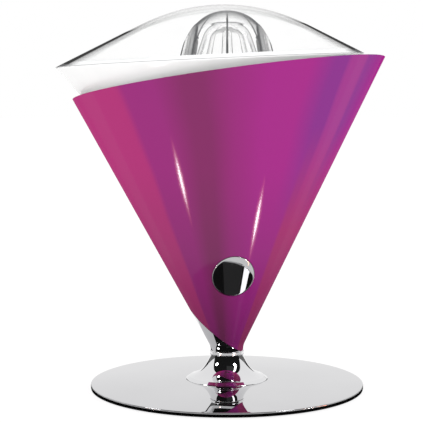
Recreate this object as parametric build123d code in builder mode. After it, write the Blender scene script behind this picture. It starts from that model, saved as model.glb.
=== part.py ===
from build123d import *
import math
import os

# Electric citrus juicer: a funnel-shaped body on a slim neck and a round domed base, with a
# lift-off juice container, strainer, ribbed reamer and clear lid, and a geared motor inside.
# Millimetres, +Z up, origin on the table at the middle of the base. The push button faces -Y
# and the pouring side of the container faces -X.

os.makedirs("parts", exist_ok=True)

# Base, neck and the rod that clamps them
base_radius = 108.0
base_edge_thickness = 3.6
base_dome_rise = 3.2
base_web = 2.2
foot_projection = 1.0
foot_pad_margin = 8.5
foot_recess_depth = 1.0
neck_foot_radius = 32.6
neck_foot_thickness = 1.6
neck_foot_margin = 0.5
neck_waist_radius = 13.2
neck_height = 19.6
neck_flare_reach = 10.6
neck_flare_lift = 1.3
neck_stem_reach = 2.1
neck_stem_drop = 9.6
collar_radius = 13.6
collar_height = 3.2
rod_radius = 5.0
rod_end_projection = 1.5
nut_across_flats = 16.0
nut_recess_gap = 1.8
base_nut_height = 3.0
body_nut_height = 6.0

# Funnel: the painted cover and the chrome body inside it
waist_radius = 12.8
waist_blend_radius = 15.0
waist_overrun = 1.0
flank_start_radius = 11.3
rim_radius = 121.3
rim_height = 244.2
rim_tilt = 8.4
rim_uphill = -30.2
funnel_lean = 1.56
cover_wall = 1.2
cover_gap = 0.3
cover_edge_height = 40.4
cover_edge_tilt = 39.7
cover_edge_uphill = 159.5
body_wall = 1.5
body_rim_drop = 3.0
body_floor_depth = 15.7
seam_gap = 0.2

# Push button and switch
button_radius = 16.05
button_share = 0.389
button_length = 14.2
button_pocket_radius = 9.0
button_pocket_depth = 6.0
button_travel = 2.5
button_end_gap = 1.0
slide_gap = 0.4
guide_wall = 2.0
guide_end_wall = 2.0
plunger_radius = 2.5
plunger_reach = 4.5
spring_radius = 6.5
spring_wire = 1.2
switch_width = 16.0
switch_depth = 14.0
switch_tall = 20.0
gland_height = 72.0
gland_radius = 5.0
gland_bore_radius = 3.0
gland_projection = 4.0
gland_inner_length = 9.0

# Motor
motor_button_gap = 3.4
bracket_radius = 38.0
bracket_thickness = 3.0
bush_radius = 6.0
bush_boss_radius = 9.0
bush_boss_depth = 5.0
bush_end_wall = 1.0
stator_radius = 29.0
stator_bore_radius = 16.5
stator_height = 25.0
stator_seat_width = 3.5
stator_seat_height = 4.0
winding_gap = 0.8
rotor_gap = 0.5
rotor_overhang = 1.0
shaft_radius = 3.0
shaft_end_gap = 0.2
bolt_circle_radius = 33.0
motor_bolt_radius = 2.0
motor_bolt_head_radius = 3.2
motor_bolt_head_height = 2.5
motor_bolt_count = 3
motor_bolt_start = 60.0

# Reduction gear
gear_module = 1.0
gear_backlash = 0.3
gear_addendum = 0.9
gear_dedendum = 1.15
gear_pressure_angle = 20.0
pinion_teeth = 12
idler_teeth = 48
idler_pinion_teeth = 14
spindle_teeth = 46
gear_width = 5.5
gear_side_overlap = 1.0
gear_plate_thickness = 3.0
idler_boss_radius = 5.0
idler_boss_height = 2.3
idler_axle_radius = 2.5
axle_seat_depth = 2.0
end_float = 0.2
stage_gap = 1.5
deck_gear_gap = 4.5
pillar_radius = 3.0
pillar_circle_radius = 34.0
pillar_angles = (75.0, 130.0, 230.0, 285.0)

# Deck, output spindle and its bearing
deck_thickness = 4.0
deck_edge_gap = 0.15
deck_boss_radius = 5.0
deck_boss_inset = 1.0
deck_boss_length = 24.0
deck_screw_count = 3
deck_screw_start = 30.0
deck_screw_radius = 1.5
deck_screw_length = 8.0
deck_screw_head_radius = 3.4
deck_screw_head_height = 2.5
chimney_radius = 12.0
chimney_share = 0.37
spindle_radius = 5.0
spindle_bush_radius = 8.0
seal_height = 4.0
seal_lip_gap = 0.08
spindle_shoulder_radius = 7.5
spindle_shoulder_height = 3.0
spindle_hex_flats = 10.0
spindle_hex_length = 14.0

# Juice container, strainer, reamer and lid
bowl_offset = -13.7
bowl_rim_rise = 14.6
bowl_rim_inset = 1.3
bowl_tilt = 2.69
bowl_wall = 3.2
bowl_shoulder_drop = 20.5
bowl_shoulder_inset = 16.8
bowl_base_inset = 54.0
bowl_base_overrun = 8.0
container_foot_height = 5.0
container_foot_radius = 43.0
container_foot_width = 3.0
container_floor = 2.5
tube_gap = 1.5
tube_wall = 1.5
tube_ledge = 1.5
tube_neck_height = 6.0
strainer_wall = 1.2
strainer_edge_gap = 9.5
strainer_rim_height = 4.0
strainer_hole_gap = 0.5
strainer_drop = 9.0
slot_count = 36
slot_rim_margin = 5.5
slot_length = 19.0
slot_width = 2.4
reamer_radius = 42.5
reamer_height = 59.2
reamer_flank_inset = 3.5
reamer_flank_rise = 27.0
reamer_crown_radius = 28.0
reamer_rib_count = 8
reamer_rib_turn = -96.6
flute_floor_radius = 35.5
flute_radius = 30.0
flute_tilt = 11.1
reamer_bore_radius = 32.0
reamer_bore_top_radius = 15.0
reamer_crown_wall = 12.0
hub_radius = 9.0
hub_recess = 2.0
hub_socket_gap = 0.15
hub_cap = 3.0
hub_stem_radius = 2.5
lid_offset = -2.5
lid_rise = 42.7
lid_wall = 2.0
lid_reamer_gap = 1.8
lid_shoulder_drop = 17.5
lid_crown_radius = 30.0
lid_shoulder_blend = 16.9
lid_skirt_inset = 7.4
lid_skirt_wall = 1.7
lid_skirt_depth = 3.0
lid_skirt_root = 3.2

# Fits shared by several pieces
fit_gap = 0.05
run_gap = 0.05

# Heights that follow from the sizes above, from the table upwards
base_edge_top = foot_projection + base_edge_thickness
dome_radius = (base_radius**2 + base_dome_rise**2) / (2 * base_dome_rise)
neck_seat_radius = neck_foot_radius + neck_foot_margin
dome_centre = base_edge_top + base_dome_rise - dome_radius
neck_seat = dome_centre + math.sqrt(dome_radius**2 - neck_seat_radius**2)
collar_bottom = neck_seat + neck_height
waist_height = collar_bottom + collar_height
body_floor = waist_height + body_floor_depth
nut_seat = neck_seat - base_web
button_height = button_share * rim_height
guide_radius = button_radius + slide_gap + guide_wall
bracket_bottom = button_height + guide_radius + motor_button_gap
bracket_top = bracket_bottom + bracket_thickness
stator_bottom = bracket_top + stator_seat_height
stator_top = stator_bottom + stator_height
plate_bottom = stator_top + stator_seat_height
plate_top = plate_bottom + gear_plate_thickness
shaft_bottom = bracket_bottom - bush_boss_depth + bush_end_wall + shaft_end_gap
idler_bottom = plate_top + idler_boss_height + end_float
idler_top = idler_bottom + gear_width
pinion_bottom = idler_bottom - gear_side_overlap
pinion_top = idler_top + gear_side_overlap
spindle_bottom = pinion_top + stage_gap
spindle_gear_top = spindle_bottom + gear_width
idler_pinion_top = spindle_gear_top + gear_side_overlap
deck_bottom = idler_pinion_top + deck_gear_gap
deck_top = deck_bottom + deck_thickness
chimney_bottom = spindle_gear_top + stage_gap
gear_centre = gear_module * (pinion_teeth + idler_teeth) / 2
container_bottom = deck_top + container_foot_height
container_floor_top = container_bottom + container_floor
bowl_rim_height = rim_height + bowl_rim_rise
bowl_rim_radius = rim_radius - bowl_rim_inset
bowl_depth = bowl_rim_height - container_bottom + bowl_base_overrun
rim_at_lid_axis = bowl_rim_height + (lid_offset - bowl_offset) * math.tan(math.radians(bowl_tilt))
lid_top = rim_at_lid_axis + lid_rise
lid_rim_radius = bowl_rim_radius + lid_offset - bowl_offset
lid_rim_height = bowl_rim_height - bowl_rim_radius * math.sin(math.radians(bowl_tilt))
lid_fall = bowl_rim_radius * math.sin(math.radians(bowl_tilt)) / (lid_offset - bowl_offset)
lid_flank_rise = lid_top - lid_shoulder_drop - lid_rim_height
lid_shoulder_radius = lid_rim_radius - lid_flank_rise / lid_fall
reamer_top = lid_top - lid_wall - lid_reamer_gap
reamer_base = reamer_top - reamer_height
strainer_level = reamer_base - strainer_drop
tube_bore_radius = chimney_radius + tube_gap
tube_neck_radius = tube_bore_radius + tube_wall
tube_radius = tube_neck_radius + tube_ledge
shoulder_top = reamer_base + hub_recess
chimney_top = deck_top + chimney_share * (reamer_base - deck_top)

# Slopes and frames
flank_slope = (rim_radius - flank_start_radius) / (rim_height - waist_height)
flank_angle = math.atan(flank_slope)
lean = math.radians(funnel_lean)
lean_origin = (0, 0, waist_height)
lean_axis = Axis(lean_origin, (-math.sin(lean), 0, math.cos(lean)))
lean_plane = Plane(lean_origin, x_dir=(math.cos(lean), 0, math.sin(lean)), z_dir=(0, -1, 0))
tilt = math.radians(bowl_tilt)
bowl_origin = (bowl_offset, 0, bowl_rim_height)
bowl_axis = Axis(bowl_origin, (-math.sin(tilt), 0, math.cos(tilt)))
bowl_plane = Plane(bowl_origin, x_dir=(math.cos(tilt), 0, math.sin(tilt)), z_dir=(0, -1, 0))
bowl_rim_plane = Plane(bowl_origin, z_dir=(-math.sin(tilt), 0, math.cos(tilt)))
lid_axis = Axis((lid_offset, 0, 0), (0, 0, 1))
body_inset = cover_wall + cover_gap
cavity_inset = body_inset + body_wall


def sloping_plane(height, slope_angle, uphill):
    """Plane that crosses the upright axis at a height and climbs towards the uphill direction."""
    steep = math.radians(slope_angle)
    turn = math.radians(uphill)
    normal = (-math.sin(steep) * math.cos(turn), -math.sin(steep) * math.sin(turn), math.cos(steep))
    return Plane((0, 0, height), z_dir=normal)


def flank_radius(height, inset):
    """Radius of the funnel about its leaning axis, at a height and a distance inside the outline."""
    return flank_start_radius + (height - waist_height) * flank_slope - inset / math.cos(flank_angle)


def lean_shift(height):
    """Sideways place of the funnel's leaning axis at a height."""
    return -(height - waist_height) * math.tan(lean)


def funnel_profile(inset):
    """Half section of the funnel, set inside its outline, to be turned about the leaning axis."""
    waist = waist_radius - inset
    start = flank_start_radius - inset / math.cos(flank_angle)
    knee = (waist - start) / flank_slope
    top = rim_height - waist_height + 2 * rim_radius * math.tan(math.radians(rim_tilt))
    top_radius = start + top * flank_slope
    with BuildSketch(lean_plane) as section:
        with BuildLine():
            FilletPolyline((waist, -waist_overrun), (waist, knee), (top_radius, top),
                           radius=waist_blend_radius + inset)
            Polyline((top_radius, top), (0, top), (0, -waist_overrun), (waist, -waist_overrun))
        make_face()
    return section.sketch


def bowl_radius(drop, inset):
    """Radius of the bowl at a drop below its rim, on the arc through rim, shoulder and base."""
    shoulder_square = bowl_shoulder_inset**2 + bowl_shoulder_drop**2
    base_square = bowl_base_inset**2 + bowl_depth**2
    cross = 2 * (bowl_shoulder_inset * bowl_depth - bowl_shoulder_drop * bowl_base_inset)
    across = (shoulder_square * bowl_depth - base_square * bowl_shoulder_drop) / cross
    down = (base_square * bowl_shoulder_inset - shoulder_square * bowl_base_inset) / cross
    reach = math.sqrt(across**2 + down**2 - (drop - down) ** 2)
    return bowl_rim_radius - inset - across + math.copysign(reach, across)


def bowl_profile(inset):
    """Half section of the container's bowl below its rim, to be turned about the bowl's axis."""
    rim = bowl_rim_radius - inset
    shoulder = (rim - bowl_shoulder_inset, -bowl_shoulder_drop)
    base = (rim - bowl_base_inset, -bowl_depth)
    with BuildSketch(bowl_plane) as section:
        with BuildLine():
            ThreePointArc((rim, 0), shoulder, base)
            Polyline(base, (0, -bowl_depth), (0, 0), (rim, 0))
        make_face()
    return section.sketch


def lid_profile(top):
    """Half section under the lid's dome: a round crown that runs into a straight flank."""
    shoulder = (lid_shoulder_radius, top - lid_shoulder_drop)
    blend = (lid_shoulder_radius - lid_shoulder_blend, shoulder[1] + lid_shoulder_blend * lid_fall)
    edge_radius = lid_rim_radius + lid_shoulder_blend
    edge = (edge_radius, shoulder[1] - (edge_radius - lid_shoulder_radius) * lid_fall)
    with BuildSketch(Plane.XZ.shift_origin((lid_offset, 0, 0))) as section:
        with BuildLine():
            Bezier((0, top), (lid_crown_radius, top), blend, shoulder)
            Polyline(shoulder, edge, (0, edge[1]), (0, top))
        make_face()
    return section.sketch


def gear_outline(level, centre, teeth, turn):
    """Spur gear with straight-flanked teeth, parallel-sided below the pitch line."""
    pitch = gear_module * teeth / 2
    tip = pitch + gear_addendum * gear_module
    root = pitch - gear_dedendum * gear_module
    half = math.pi * gear_module / 4 - gear_backlash / 2
    half_tip = half - (tip - pitch) * math.tan(math.radians(gear_pressure_angle))
    foot = root - gear_backlash
    with BuildSketch(Plane.XY.offset(level)) as section:
        with Locations((centre, 0)):
            Circle(root)
            with PolarLocations(0, teeth, start_angle=turn):
                Polygon(
                    (foot, -half), (pitch, -half), (tip, -half_tip),
                    (tip, half_tip), (pitch, half), (foot, half), align=None,
                )
    return section.sketch


def rod(level, radius, length, centre=(0, 0), mode=Mode.ADD):
    """Upright round rod, or a hole of that shape, that starts at a level."""
    with BuildSketch(Plane.XY.offset(level)) as section:
        with Locations(centre):
            Circle(radius)
    extrude(section.sketch, amount=length, mode=mode)


rim_plane = sloping_plane(rim_height, rim_tilt, rim_uphill)
cover_edge_plane = sloping_plane(cover_edge_height, cover_edge_tilt, cover_edge_uphill)

# Base: a thick steel disc with a shallow dome, a flat seat for the neck, a recess for the
# rubber pad and a deeper one for the clamp nut.
foot_pad_radius = base_radius - foot_pad_margin
with BuildPart() as base_plate:
    with BuildSketch(Plane.XZ):
        with BuildLine():
            Polyline((0, neck_seat), (0, foot_projection), (base_radius, foot_projection),
                     (base_radius, base_edge_top))
            RadiusArc((neck_seat_radius, neck_seat), (base_radius, base_edge_top), dome_radius)
            Line((neck_seat_radius, neck_seat), (0, neck_seat))
        make_face()
    revolve(axis=Axis.Z)
    rod(foot_projection, foot_pad_radius + fit_gap, foot_recess_depth, mode=Mode.SUBTRACT)
    rod(foot_projection, nut_across_flats / 2 + nut_recess_gap, nut_seat - foot_projection,
        mode=Mode.SUBTRACT)
    rod(nut_seat, rod_radius + fit_gap, base_web, mode=Mode.SUBTRACT)
base_plate.part.label = "base_plate"
export_step(base_plate.part, "parts/base_plate.step")

# Rubber pad that stands on the table, glued into the recess under the base.
with BuildPart() as foot_pad:
    rod(0, foot_pad_radius, foot_projection + foot_recess_depth)
foot_pad.part.label = "foot_pad"
export_step(foot_pad.part, "parts/foot_pad.step")

# Trumpet neck: its thin foot lies on the base and its stem carries the collar.
with BuildPart() as pedestal_neck:
    foot_edge = (neck_foot_radius, neck_seat + neck_foot_thickness)
    stem_top = (neck_waist_radius, collar_bottom)
    flare_handle = (neck_foot_radius - neck_flare_reach, foot_edge[1] + neck_flare_lift)
    stem_handle = (neck_waist_radius + neck_stem_reach, collar_bottom - neck_stem_drop)
    with BuildSketch(Plane.XZ):
        with BuildLine():
            Polyline((rod_radius + fit_gap, collar_bottom), (rod_radius + fit_gap, neck_seat),
                     (neck_foot_radius, neck_seat), foot_edge)
            Bezier(foot_edge, flare_handle, stem_handle, stem_top)
            Line(stem_top, (rod_radius + fit_gap, collar_bottom))
        make_face()
    revolve(axis=Axis.Z)
pedestal_neck.part.label = "pedestal_neck"
export_step(pedestal_neck.part, "parts/pedestal_neck.step")

# Bright ring between the neck and the funnel.
with BuildPart() as waist_collar:
    rod(collar_bottom, collar_radius, collar_height)
    fillet(waist_collar.edges().filter_by(GeomType.CIRCLE), radius=collar_height / 5)
    rod(collar_bottom, rod_radius + fit_gap, collar_height, mode=Mode.SUBTRACT)
waist_collar.part.label = "waist_collar"
export_step(waist_collar.part, "parts/waist_collar.step")

# Painted cover: a thin cone cut off aslant above and below, with holes for button and gland.
with BuildPart() as cover_shell:
    revolve(funnel_profile(0), axis=lean_axis)
    revolve(funnel_profile(cover_wall), axis=lean_axis, mode=Mode.SUBTRACT)
    split(bisect_by=rim_plane, keep=Keep.BOTTOM)
    split(bisect_by=cover_edge_plane.offset(seam_gap), keep=Keep.TOP)
    split(bisect_by=Plane.XY.offset(waist_height + seam_gap), keep=Keep.TOP)
    with BuildSketch(Plane.XZ):
        with Locations((0, button_height)):
            Circle(button_radius + slide_gap)
    extrude(amount=rim_radius, mode=Mode.SUBTRACT)
    with BuildSketch(Plane.XZ):
        with Locations((0, gland_height)):
            Circle(gland_radius + fit_gap)
    extrude(amount=-rim_radius, mode=Mode.SUBTRACT)
cover_shell.part.label = "cover_shell"
export_step(cover_shell.part, "parts/cover_shell.step")

# Everything inside the cover, still solid: full size below the cover's lower edge, set back
# under the cover above it.
with BuildPart() as funnel_core:
    revolve(funnel_profile(0), axis=lean_axis)
    split(bisect_by=cover_edge_plane, keep=Keep.BOTTOM)
    revolve(funnel_profile(body_inset), axis=lean_axis)
    split(bisect_by=rim_plane.offset(-body_rim_drop), keep=Keep.BOTTOM)
    split(bisect_by=Plane.XY.offset(waist_height), keep=Keep.TOP)

with BuildPart() as funnel_cavity:
    revolve(funnel_profile(cavity_inset), axis=lean_axis)
    split(bisect_by=Plane.XY.offset(body_floor), keep=Keep.TOP)

deck_boss_circle = flank_radius(deck_bottom, cavity_inset) - deck_boss_radius - deck_boss_inset
with BuildPart() as deck_bosses:
    with BuildSketch(Plane.XY.offset(deck_bottom)):
        with Locations((lean_shift(deck_bottom), 0)):
            with PolarLocations(deck_boss_circle, deck_screw_count, start_angle=deck_screw_start):
                Circle(deck_boss_radius)
    extrude(amount=-deck_boss_length)
    add(funnel_core.part, mode=Mode.INTERSECT)

# Chrome body: the funnel that carries deck, motor and switch, with a solid plug at its waist.
with BuildPart() as body_cone:
    add(funnel_core.part)
    add(funnel_cavity.part, mode=Mode.SUBTRACT)
    add(deck_bosses.part)
    with BuildSketch(Plane.XY.offset(deck_bottom)):
        with Locations((lean_shift(deck_bottom), 0)):
            with PolarLocations(deck_boss_circle, deck_screw_count, start_angle=deck_screw_start):
                Circle(deck_screw_radius + fit_gap)
    extrude(amount=-deck_screw_length, mode=Mode.SUBTRACT)
    with BuildSketch(Plane.XZ):
        with Locations((0, button_height)):
            Circle(button_radius + slide_gap)
    extrude(amount=rim_radius, mode=Mode.SUBTRACT)
    with BuildSketch(Plane.XZ):
        with Locations((0, gland_height)):
            Circle(gland_radius + fit_gap)
    extrude(amount=-rim_radius, mode=Mode.SUBTRACT)
    rod(waist_height, rod_radius + fit_gap, body_floor_depth, mode=Mode.SUBTRACT)
body_cone.part.label = "body_cone"
export_step(body_cone.part, "parts/body_cone.step")

# Clamp: a rod through base, neck, collar and funnel plug, with a nut at each end.
rod_bottom = nut_seat - base_nut_height
rod_top = body_floor + body_nut_height + rod_end_projection
with BuildPart() as tie_rod:
    rod(rod_bottom, rod_radius, rod_top - rod_bottom)
tie_rod.part.label = "tie_rod"
export_step(tie_rod.part, "parts/tie_rod.step")

with BuildPart() as base_nut:
    with BuildSketch(Plane.XY.offset(rod_bottom)):
        RegularPolygon(nut_across_flats / 2, 6, major_radius=False)
        Circle(rod_radius + fit_gap, mode=Mode.SUBTRACT)
    extrude(amount=base_nut_height)
base_nut.part.label = "base_nut"
export_step(base_nut.part, "parts/base_nut.step")

with BuildPart() as body_nut:
    with BuildSketch(Plane.XY.offset(body_floor)):
        RegularPolygon(nut_across_flats / 2, 6, major_radius=False)
        Circle(rod_radius + fit_gap, mode=Mode.SUBTRACT)
    extrude(amount=body_nut_height)
body_nut.part.label = "body_nut"
export_step(body_nut.part, "parts/body_nut.step")

# Inlet for the mains cord: a sleeve through cover and body at the back.
gland_face = flank_radius(gland_height, 0) + gland_projection
with BuildPart() as cord_gland:
    with BuildSketch(Plane.XZ.offset(-gland_face)):
        with Locations((0, gland_height)):
            Circle(gland_radius)
            Circle(gland_bore_radius, mode=Mode.SUBTRACT)
    extrude(amount=gland_projection + gland_inner_length)
cord_gland.part.label = "cord_gland"
export_step(cord_gland.part, "parts/cord_gland.step")

# Push button: a short cylinder whose face follows the cone, with a pocket for its spring.
button_back = flank_radius(button_height, 0) - button_length
guide_back = button_back - button_travel - button_end_gap - guide_end_wall
with BuildPart() as power_button:
    with BuildSketch(Plane.XZ.offset(button_back)):
        with Locations((0, button_height)):
            Circle(button_radius)
    extrude(amount=rim_radius)
    revolve(funnel_profile(0), axis=lean_axis, mode=Mode.INTERSECT)
    with BuildSketch(Plane.XZ.offset(button_back)):
        with Locations((0, button_height)):
            Circle(button_pocket_radius)
    extrude(amount=button_pocket_depth, mode=Mode.SUBTRACT)
power_button.part.label = "power_button"
export_step(power_button.part, "parts/power_button.step")

# Cup inside the body that guides the button and carries the switch.
with BuildPart() as button_guide:
    with BuildSketch(Plane.XZ.offset(guide_back)):
        with Locations((0, button_height)):
            Circle(guide_radius)
    extrude(amount=rim_radius)
    revolve(funnel_profile(cavity_inset + fit_gap), axis=lean_axis, mode=Mode.INTERSECT)
    with BuildSketch(Plane.XZ.offset(guide_back + guide_end_wall)):
        with Locations((0, button_height)):
            Circle(button_radius + slide_gap)
    extrude(amount=rim_radius, mode=Mode.SUBTRACT)
    with BuildSketch(Plane.XZ.offset(guide_back)):
        with Locations((0, button_height)):
            Circle(plunger_radius + slide_gap)
    extrude(amount=guide_end_wall, mode=Mode.SUBTRACT)
button_guide.part.label = "button_guide"
export_step(button_guide.part, "parts/button_guide.step")

# Return spring, as the sleeve that its turns fill, between the guide's end and the pocket.
pocket_face = button_back + button_pocket_depth
with BuildPart() as button_spring:
    with BuildSketch(Plane.XZ.offset(guide_back + guide_end_wall)):
        with Locations((0, button_height)):
            Circle(spring_radius)
            Circle(spring_radius - spring_wire, mode=Mode.SUBTRACT)
    extrude(amount=pocket_face - guide_back - guide_end_wall)
button_spring.part.label = "button_spring"
export_step(button_spring.part, "parts/button_spring.step")

# Switch and its plunger, which the button pushes through the guide's end wall.
with BuildPart() as switch_plunger:
    with BuildSketch(Plane.XZ.offset(guide_back - plunger_reach)):
        with Locations((0, button_height)):
            Circle(plunger_radius)
    extrude(amount=pocket_face - guide_back + plunger_reach)
switch_plunger.part.label = "switch_plunger"
export_step(switch_plunger.part, "parts/switch_plunger.step")

with BuildPart() as switch_body:
    with BuildSketch(Plane.XZ.offset(guide_back)):
        with Locations((0, button_height)):
            Rectangle(switch_width, switch_tall)
    extrude(amount=-switch_depth)
    with BuildSketch(Plane.XZ.offset(guide_back)):
        with Locations((0, button_height)):
            Circle(plunger_radius + slide_gap)
    extrude(amount=-(plunger_reach + button_travel + button_end_gap), mode=Mode.SUBTRACT)
switch_body.part.label = "switch_body"
export_step(switch_body.part, "parts/switch_body.step")

# Lower motor bracket: a disc with a seat ring for the stator and a closed bearing boss.
stator_seat_inner = stator_radius - stator_seat_width
bush_bottom = bracket_bottom - bush_boss_depth + bush_end_wall
with BuildPart() as lower_bracket:
    rod(bracket_bottom, bracket_radius, bracket_thickness)
    with BuildSketch(Plane.XY.offset(bracket_top)):
        Circle(stator_radius)
        Circle(stator_seat_inner, mode=Mode.SUBTRACT)
    extrude(amount=stator_seat_height)
    rod(bracket_bottom - bush_boss_depth, bush_boss_radius, bush_boss_depth)
    rod(bush_bottom, bush_radius + fit_gap, bracket_top - bush_bottom, mode=Mode.SUBTRACT)
    with BuildSketch(Plane.XY.offset(bracket_bottom)):
        with PolarLocations(bolt_circle_radius, motor_bolt_count, start_angle=motor_bolt_start):
            Circle(motor_bolt_radius + fit_gap)
    extrude(amount=bracket_thickness, mode=Mode.SUBTRACT)
lower_bracket.part.label = "lower_bracket"
export_step(lower_bracket.part, "parts/lower_bracket.step")

# Gear plate: the upper motor bracket, with the boss that the idler runs on.
with BuildPart() as gear_plate:
    rod(plate_bottom, bracket_radius, gear_plate_thickness)
    with BuildSketch(Plane.XY.offset(stator_top)):
        Circle(stator_radius)
        Circle(stator_seat_inner, mode=Mode.SUBTRACT)
    extrude(amount=stator_seat_height)
    rod(plate_top, idler_boss_radius, idler_boss_height, centre=(gear_centre, 0))
    rod(plate_bottom, idler_axle_radius + fit_gap, gear_plate_thickness + idler_boss_height,
        centre=(gear_centre, 0), mode=Mode.SUBTRACT)
    rod(plate_bottom, bush_radius + fit_gap, gear_plate_thickness, mode=Mode.SUBTRACT)
    with BuildSketch(Plane.XY.offset(plate_bottom)):
        with PolarLocations(bolt_circle_radius, motor_bolt_count, start_angle=motor_bolt_start):
            Circle(motor_bolt_radius + fit_gap)
    extrude(amount=gear_plate_thickness, mode=Mode.SUBTRACT)
gear_plate.part.label = "gear_plate"
export_step(gear_plate.part, "parts/gear_plate.step")

# Bolts that clamp the stator between the two brackets.
with BuildPart() as motor_bolts:
    with BuildSketch(Plane.XY.offset(bracket_bottom)):
        with PolarLocations(bolt_circle_radius, motor_bolt_count, start_angle=motor_bolt_start):
            Circle(motor_bolt_head_radius)
    extrude(amount=-motor_bolt_head_height)
    with BuildSketch(Plane.XY.offset(bracket_bottom)):
        with PolarLocations(bolt_circle_radius, motor_bolt_count, start_angle=motor_bolt_start):
            Circle(motor_bolt_radius)
    extrude(amount=plate_top - bracket_bottom)
motor_bolts.part.label = "motor_bolts"
export_step(motor_bolts.part, "parts/motor_bolts.step")

# Pillars that hang the gear plate from the deck.
with BuildPart() as gear_pillars:
    with BuildSketch(Plane.XY.offset(plate_top)):
        for angle in pillar_angles:
            with PolarLocations(pillar_circle_radius, 1, start_angle=angle):
                Circle(pillar_radius)
    extrude(amount=deck_bottom - plate_top)
gear_pillars.part.label = "gear_pillars"
export_step(gear_pillars.part, "parts/gear_pillars.step")

# Stator stack and the end turns of its winding, above and below it.
with BuildPart() as motor_stator:
    with BuildSketch(Plane.XY.offset(stator_bottom)):
        Circle(stator_radius)
        Circle(stator_bore_radius, mode=Mode.SUBTRACT)
    extrude(amount=stator_height)
motor_stator.part.label = "motor_stator"
export_step(motor_stator.part, "parts/motor_stator.step")

winding_height = stator_seat_height - winding_gap
with BuildPart() as stator_winding:
    with BuildSketch(Plane.XY.offset(stator_top), Plane.XY.offset(stator_bottom - winding_height)):
        Circle(stator_seat_inner - winding_gap)
        Circle(stator_bore_radius + winding_gap, mode=Mode.SUBTRACT)
    extrude(amount=winding_height)
stator_winding.part.label = "stator_winding"
export_step(stator_winding.part, "parts/stator_winding.step")

# Rotor on its shaft, which runs in a bush in each bracket.
with BuildPart() as motor_rotor:
    with BuildSketch(Plane.XY.offset(stator_bottom - rotor_overhang)):
        Circle(stator_bore_radius - rotor_gap)
        Circle(shaft_radius + fit_gap, mode=Mode.SUBTRACT)
    extrude(amount=stator_height + 2 * rotor_overhang)
motor_rotor.part.label = "motor_rotor"
export_step(motor_rotor.part, "parts/motor_rotor.step")

with BuildPart() as rotor_shaft:
    rod(shaft_bottom, shaft_radius, pinion_top - shaft_bottom)
rotor_shaft.part.label = "rotor_shaft"
export_step(rotor_shaft.part, "parts/rotor_shaft.step")

with BuildPart() as lower_bush:
    rod(bush_bottom, bush_radius, bracket_top - bush_bottom)
    rod(bush_bottom, shaft_radius + run_gap, bracket_top - bush_bottom, mode=Mode.SUBTRACT)
lower_bush.part.label = "lower_bush"
export_step(lower_bush.part, "parts/lower_bush.step")

with BuildPart() as upper_bush:
    rod(plate_bottom, bush_radius, gear_plate_thickness)
    rod(plate_bottom, shaft_radius + run_gap, gear_plate_thickness, mode=Mode.SUBTRACT)
upper_bush.part.label = "upper_bush"
export_step(upper_bush.part, "parts/upper_bush.step")

# First stage: the motor pinion drives the large idler wheel.
with BuildPart() as motor_pinion:
    extrude(gear_outline(pinion_bottom, 0, pinion_teeth, 0), amount=pinion_top - pinion_bottom)
    rod(pinion_bottom, shaft_radius + fit_gap, pinion_top - pinion_bottom, mode=Mode.SUBTRACT)
motor_pinion.part.label = "motor_pinion"
export_step(motor_pinion.part, "parts/motor_pinion.step")

# Second stage: the idler's own pinion, moulded on top of it, drives the spindle wheel.
with BuildPart() as idler_gear:
    extrude(gear_outline(idler_bottom, gear_centre, idler_teeth, 180 / idler_teeth), amount=gear_width)
    extrude(gear_outline(idler_top, gear_centre, idler_pinion_teeth, 0),
            amount=idler_pinion_top - idler_top)
    rod(idler_bottom, idler_axle_radius + run_gap, idler_pinion_top - idler_bottom,
        centre=(gear_centre, 0), mode=Mode.SUBTRACT)
idler_gear.part.label = "idler_gear"
export_step(idler_gear.part, "parts/idler_gear.step")

with BuildPart() as idler_axle:
    rod(plate_bottom, idler_axle_radius, deck_bottom + axle_seat_depth - plate_bottom,
        centre=(gear_centre, 0))
idler_axle.part.label = "idler_axle"
export_step(idler_axle.part, "parts/idler_axle.step")

with BuildPart() as spindle_gear:
    extrude(gear_outline(spindle_bottom, 0, spindle_teeth, 180 / spindle_teeth), amount=gear_width)
    rod(spindle_bottom, spindle_radius + fit_gap, gear_width, mode=Mode.SUBTRACT)
spindle_gear.part.label = "spindle_gear"
export_step(spindle_gear.part, "parts/spindle_gear.step")

# Deck: a plate across the funnel that keeps juice from the motor, with a tall bearing chimney.
with BuildPart() as motor_deck:
    rod(deck_bottom, rim_radius, deck_thickness)
    revolve(funnel_profile(cavity_inset + deck_edge_gap), axis=lean_axis, mode=Mode.INTERSECT)
    rod(chimney_bottom, chimney_radius, chimney_top - chimney_bottom)
    rod(chimney_bottom, spindle_bush_radius + fit_gap, chimney_top - chimney_bottom, mode=Mode.SUBTRACT)
    rod(deck_bottom, idler_axle_radius + fit_gap, axle_seat_depth, centre=(gear_centre, 0),
        mode=Mode.SUBTRACT)
    with BuildSketch(Plane.XY.offset(deck_bottom)):
        with Locations((lean_shift(deck_bottom), 0)):
            with PolarLocations(deck_boss_circle, deck_screw_count, start_angle=deck_screw_start):
                Circle(deck_screw_radius + fit_gap)
    extrude(amount=deck_thickness, mode=Mode.SUBTRACT)
motor_deck.part.label = "motor_deck"
export_step(motor_deck.part, "parts/motor_deck.step")

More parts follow.
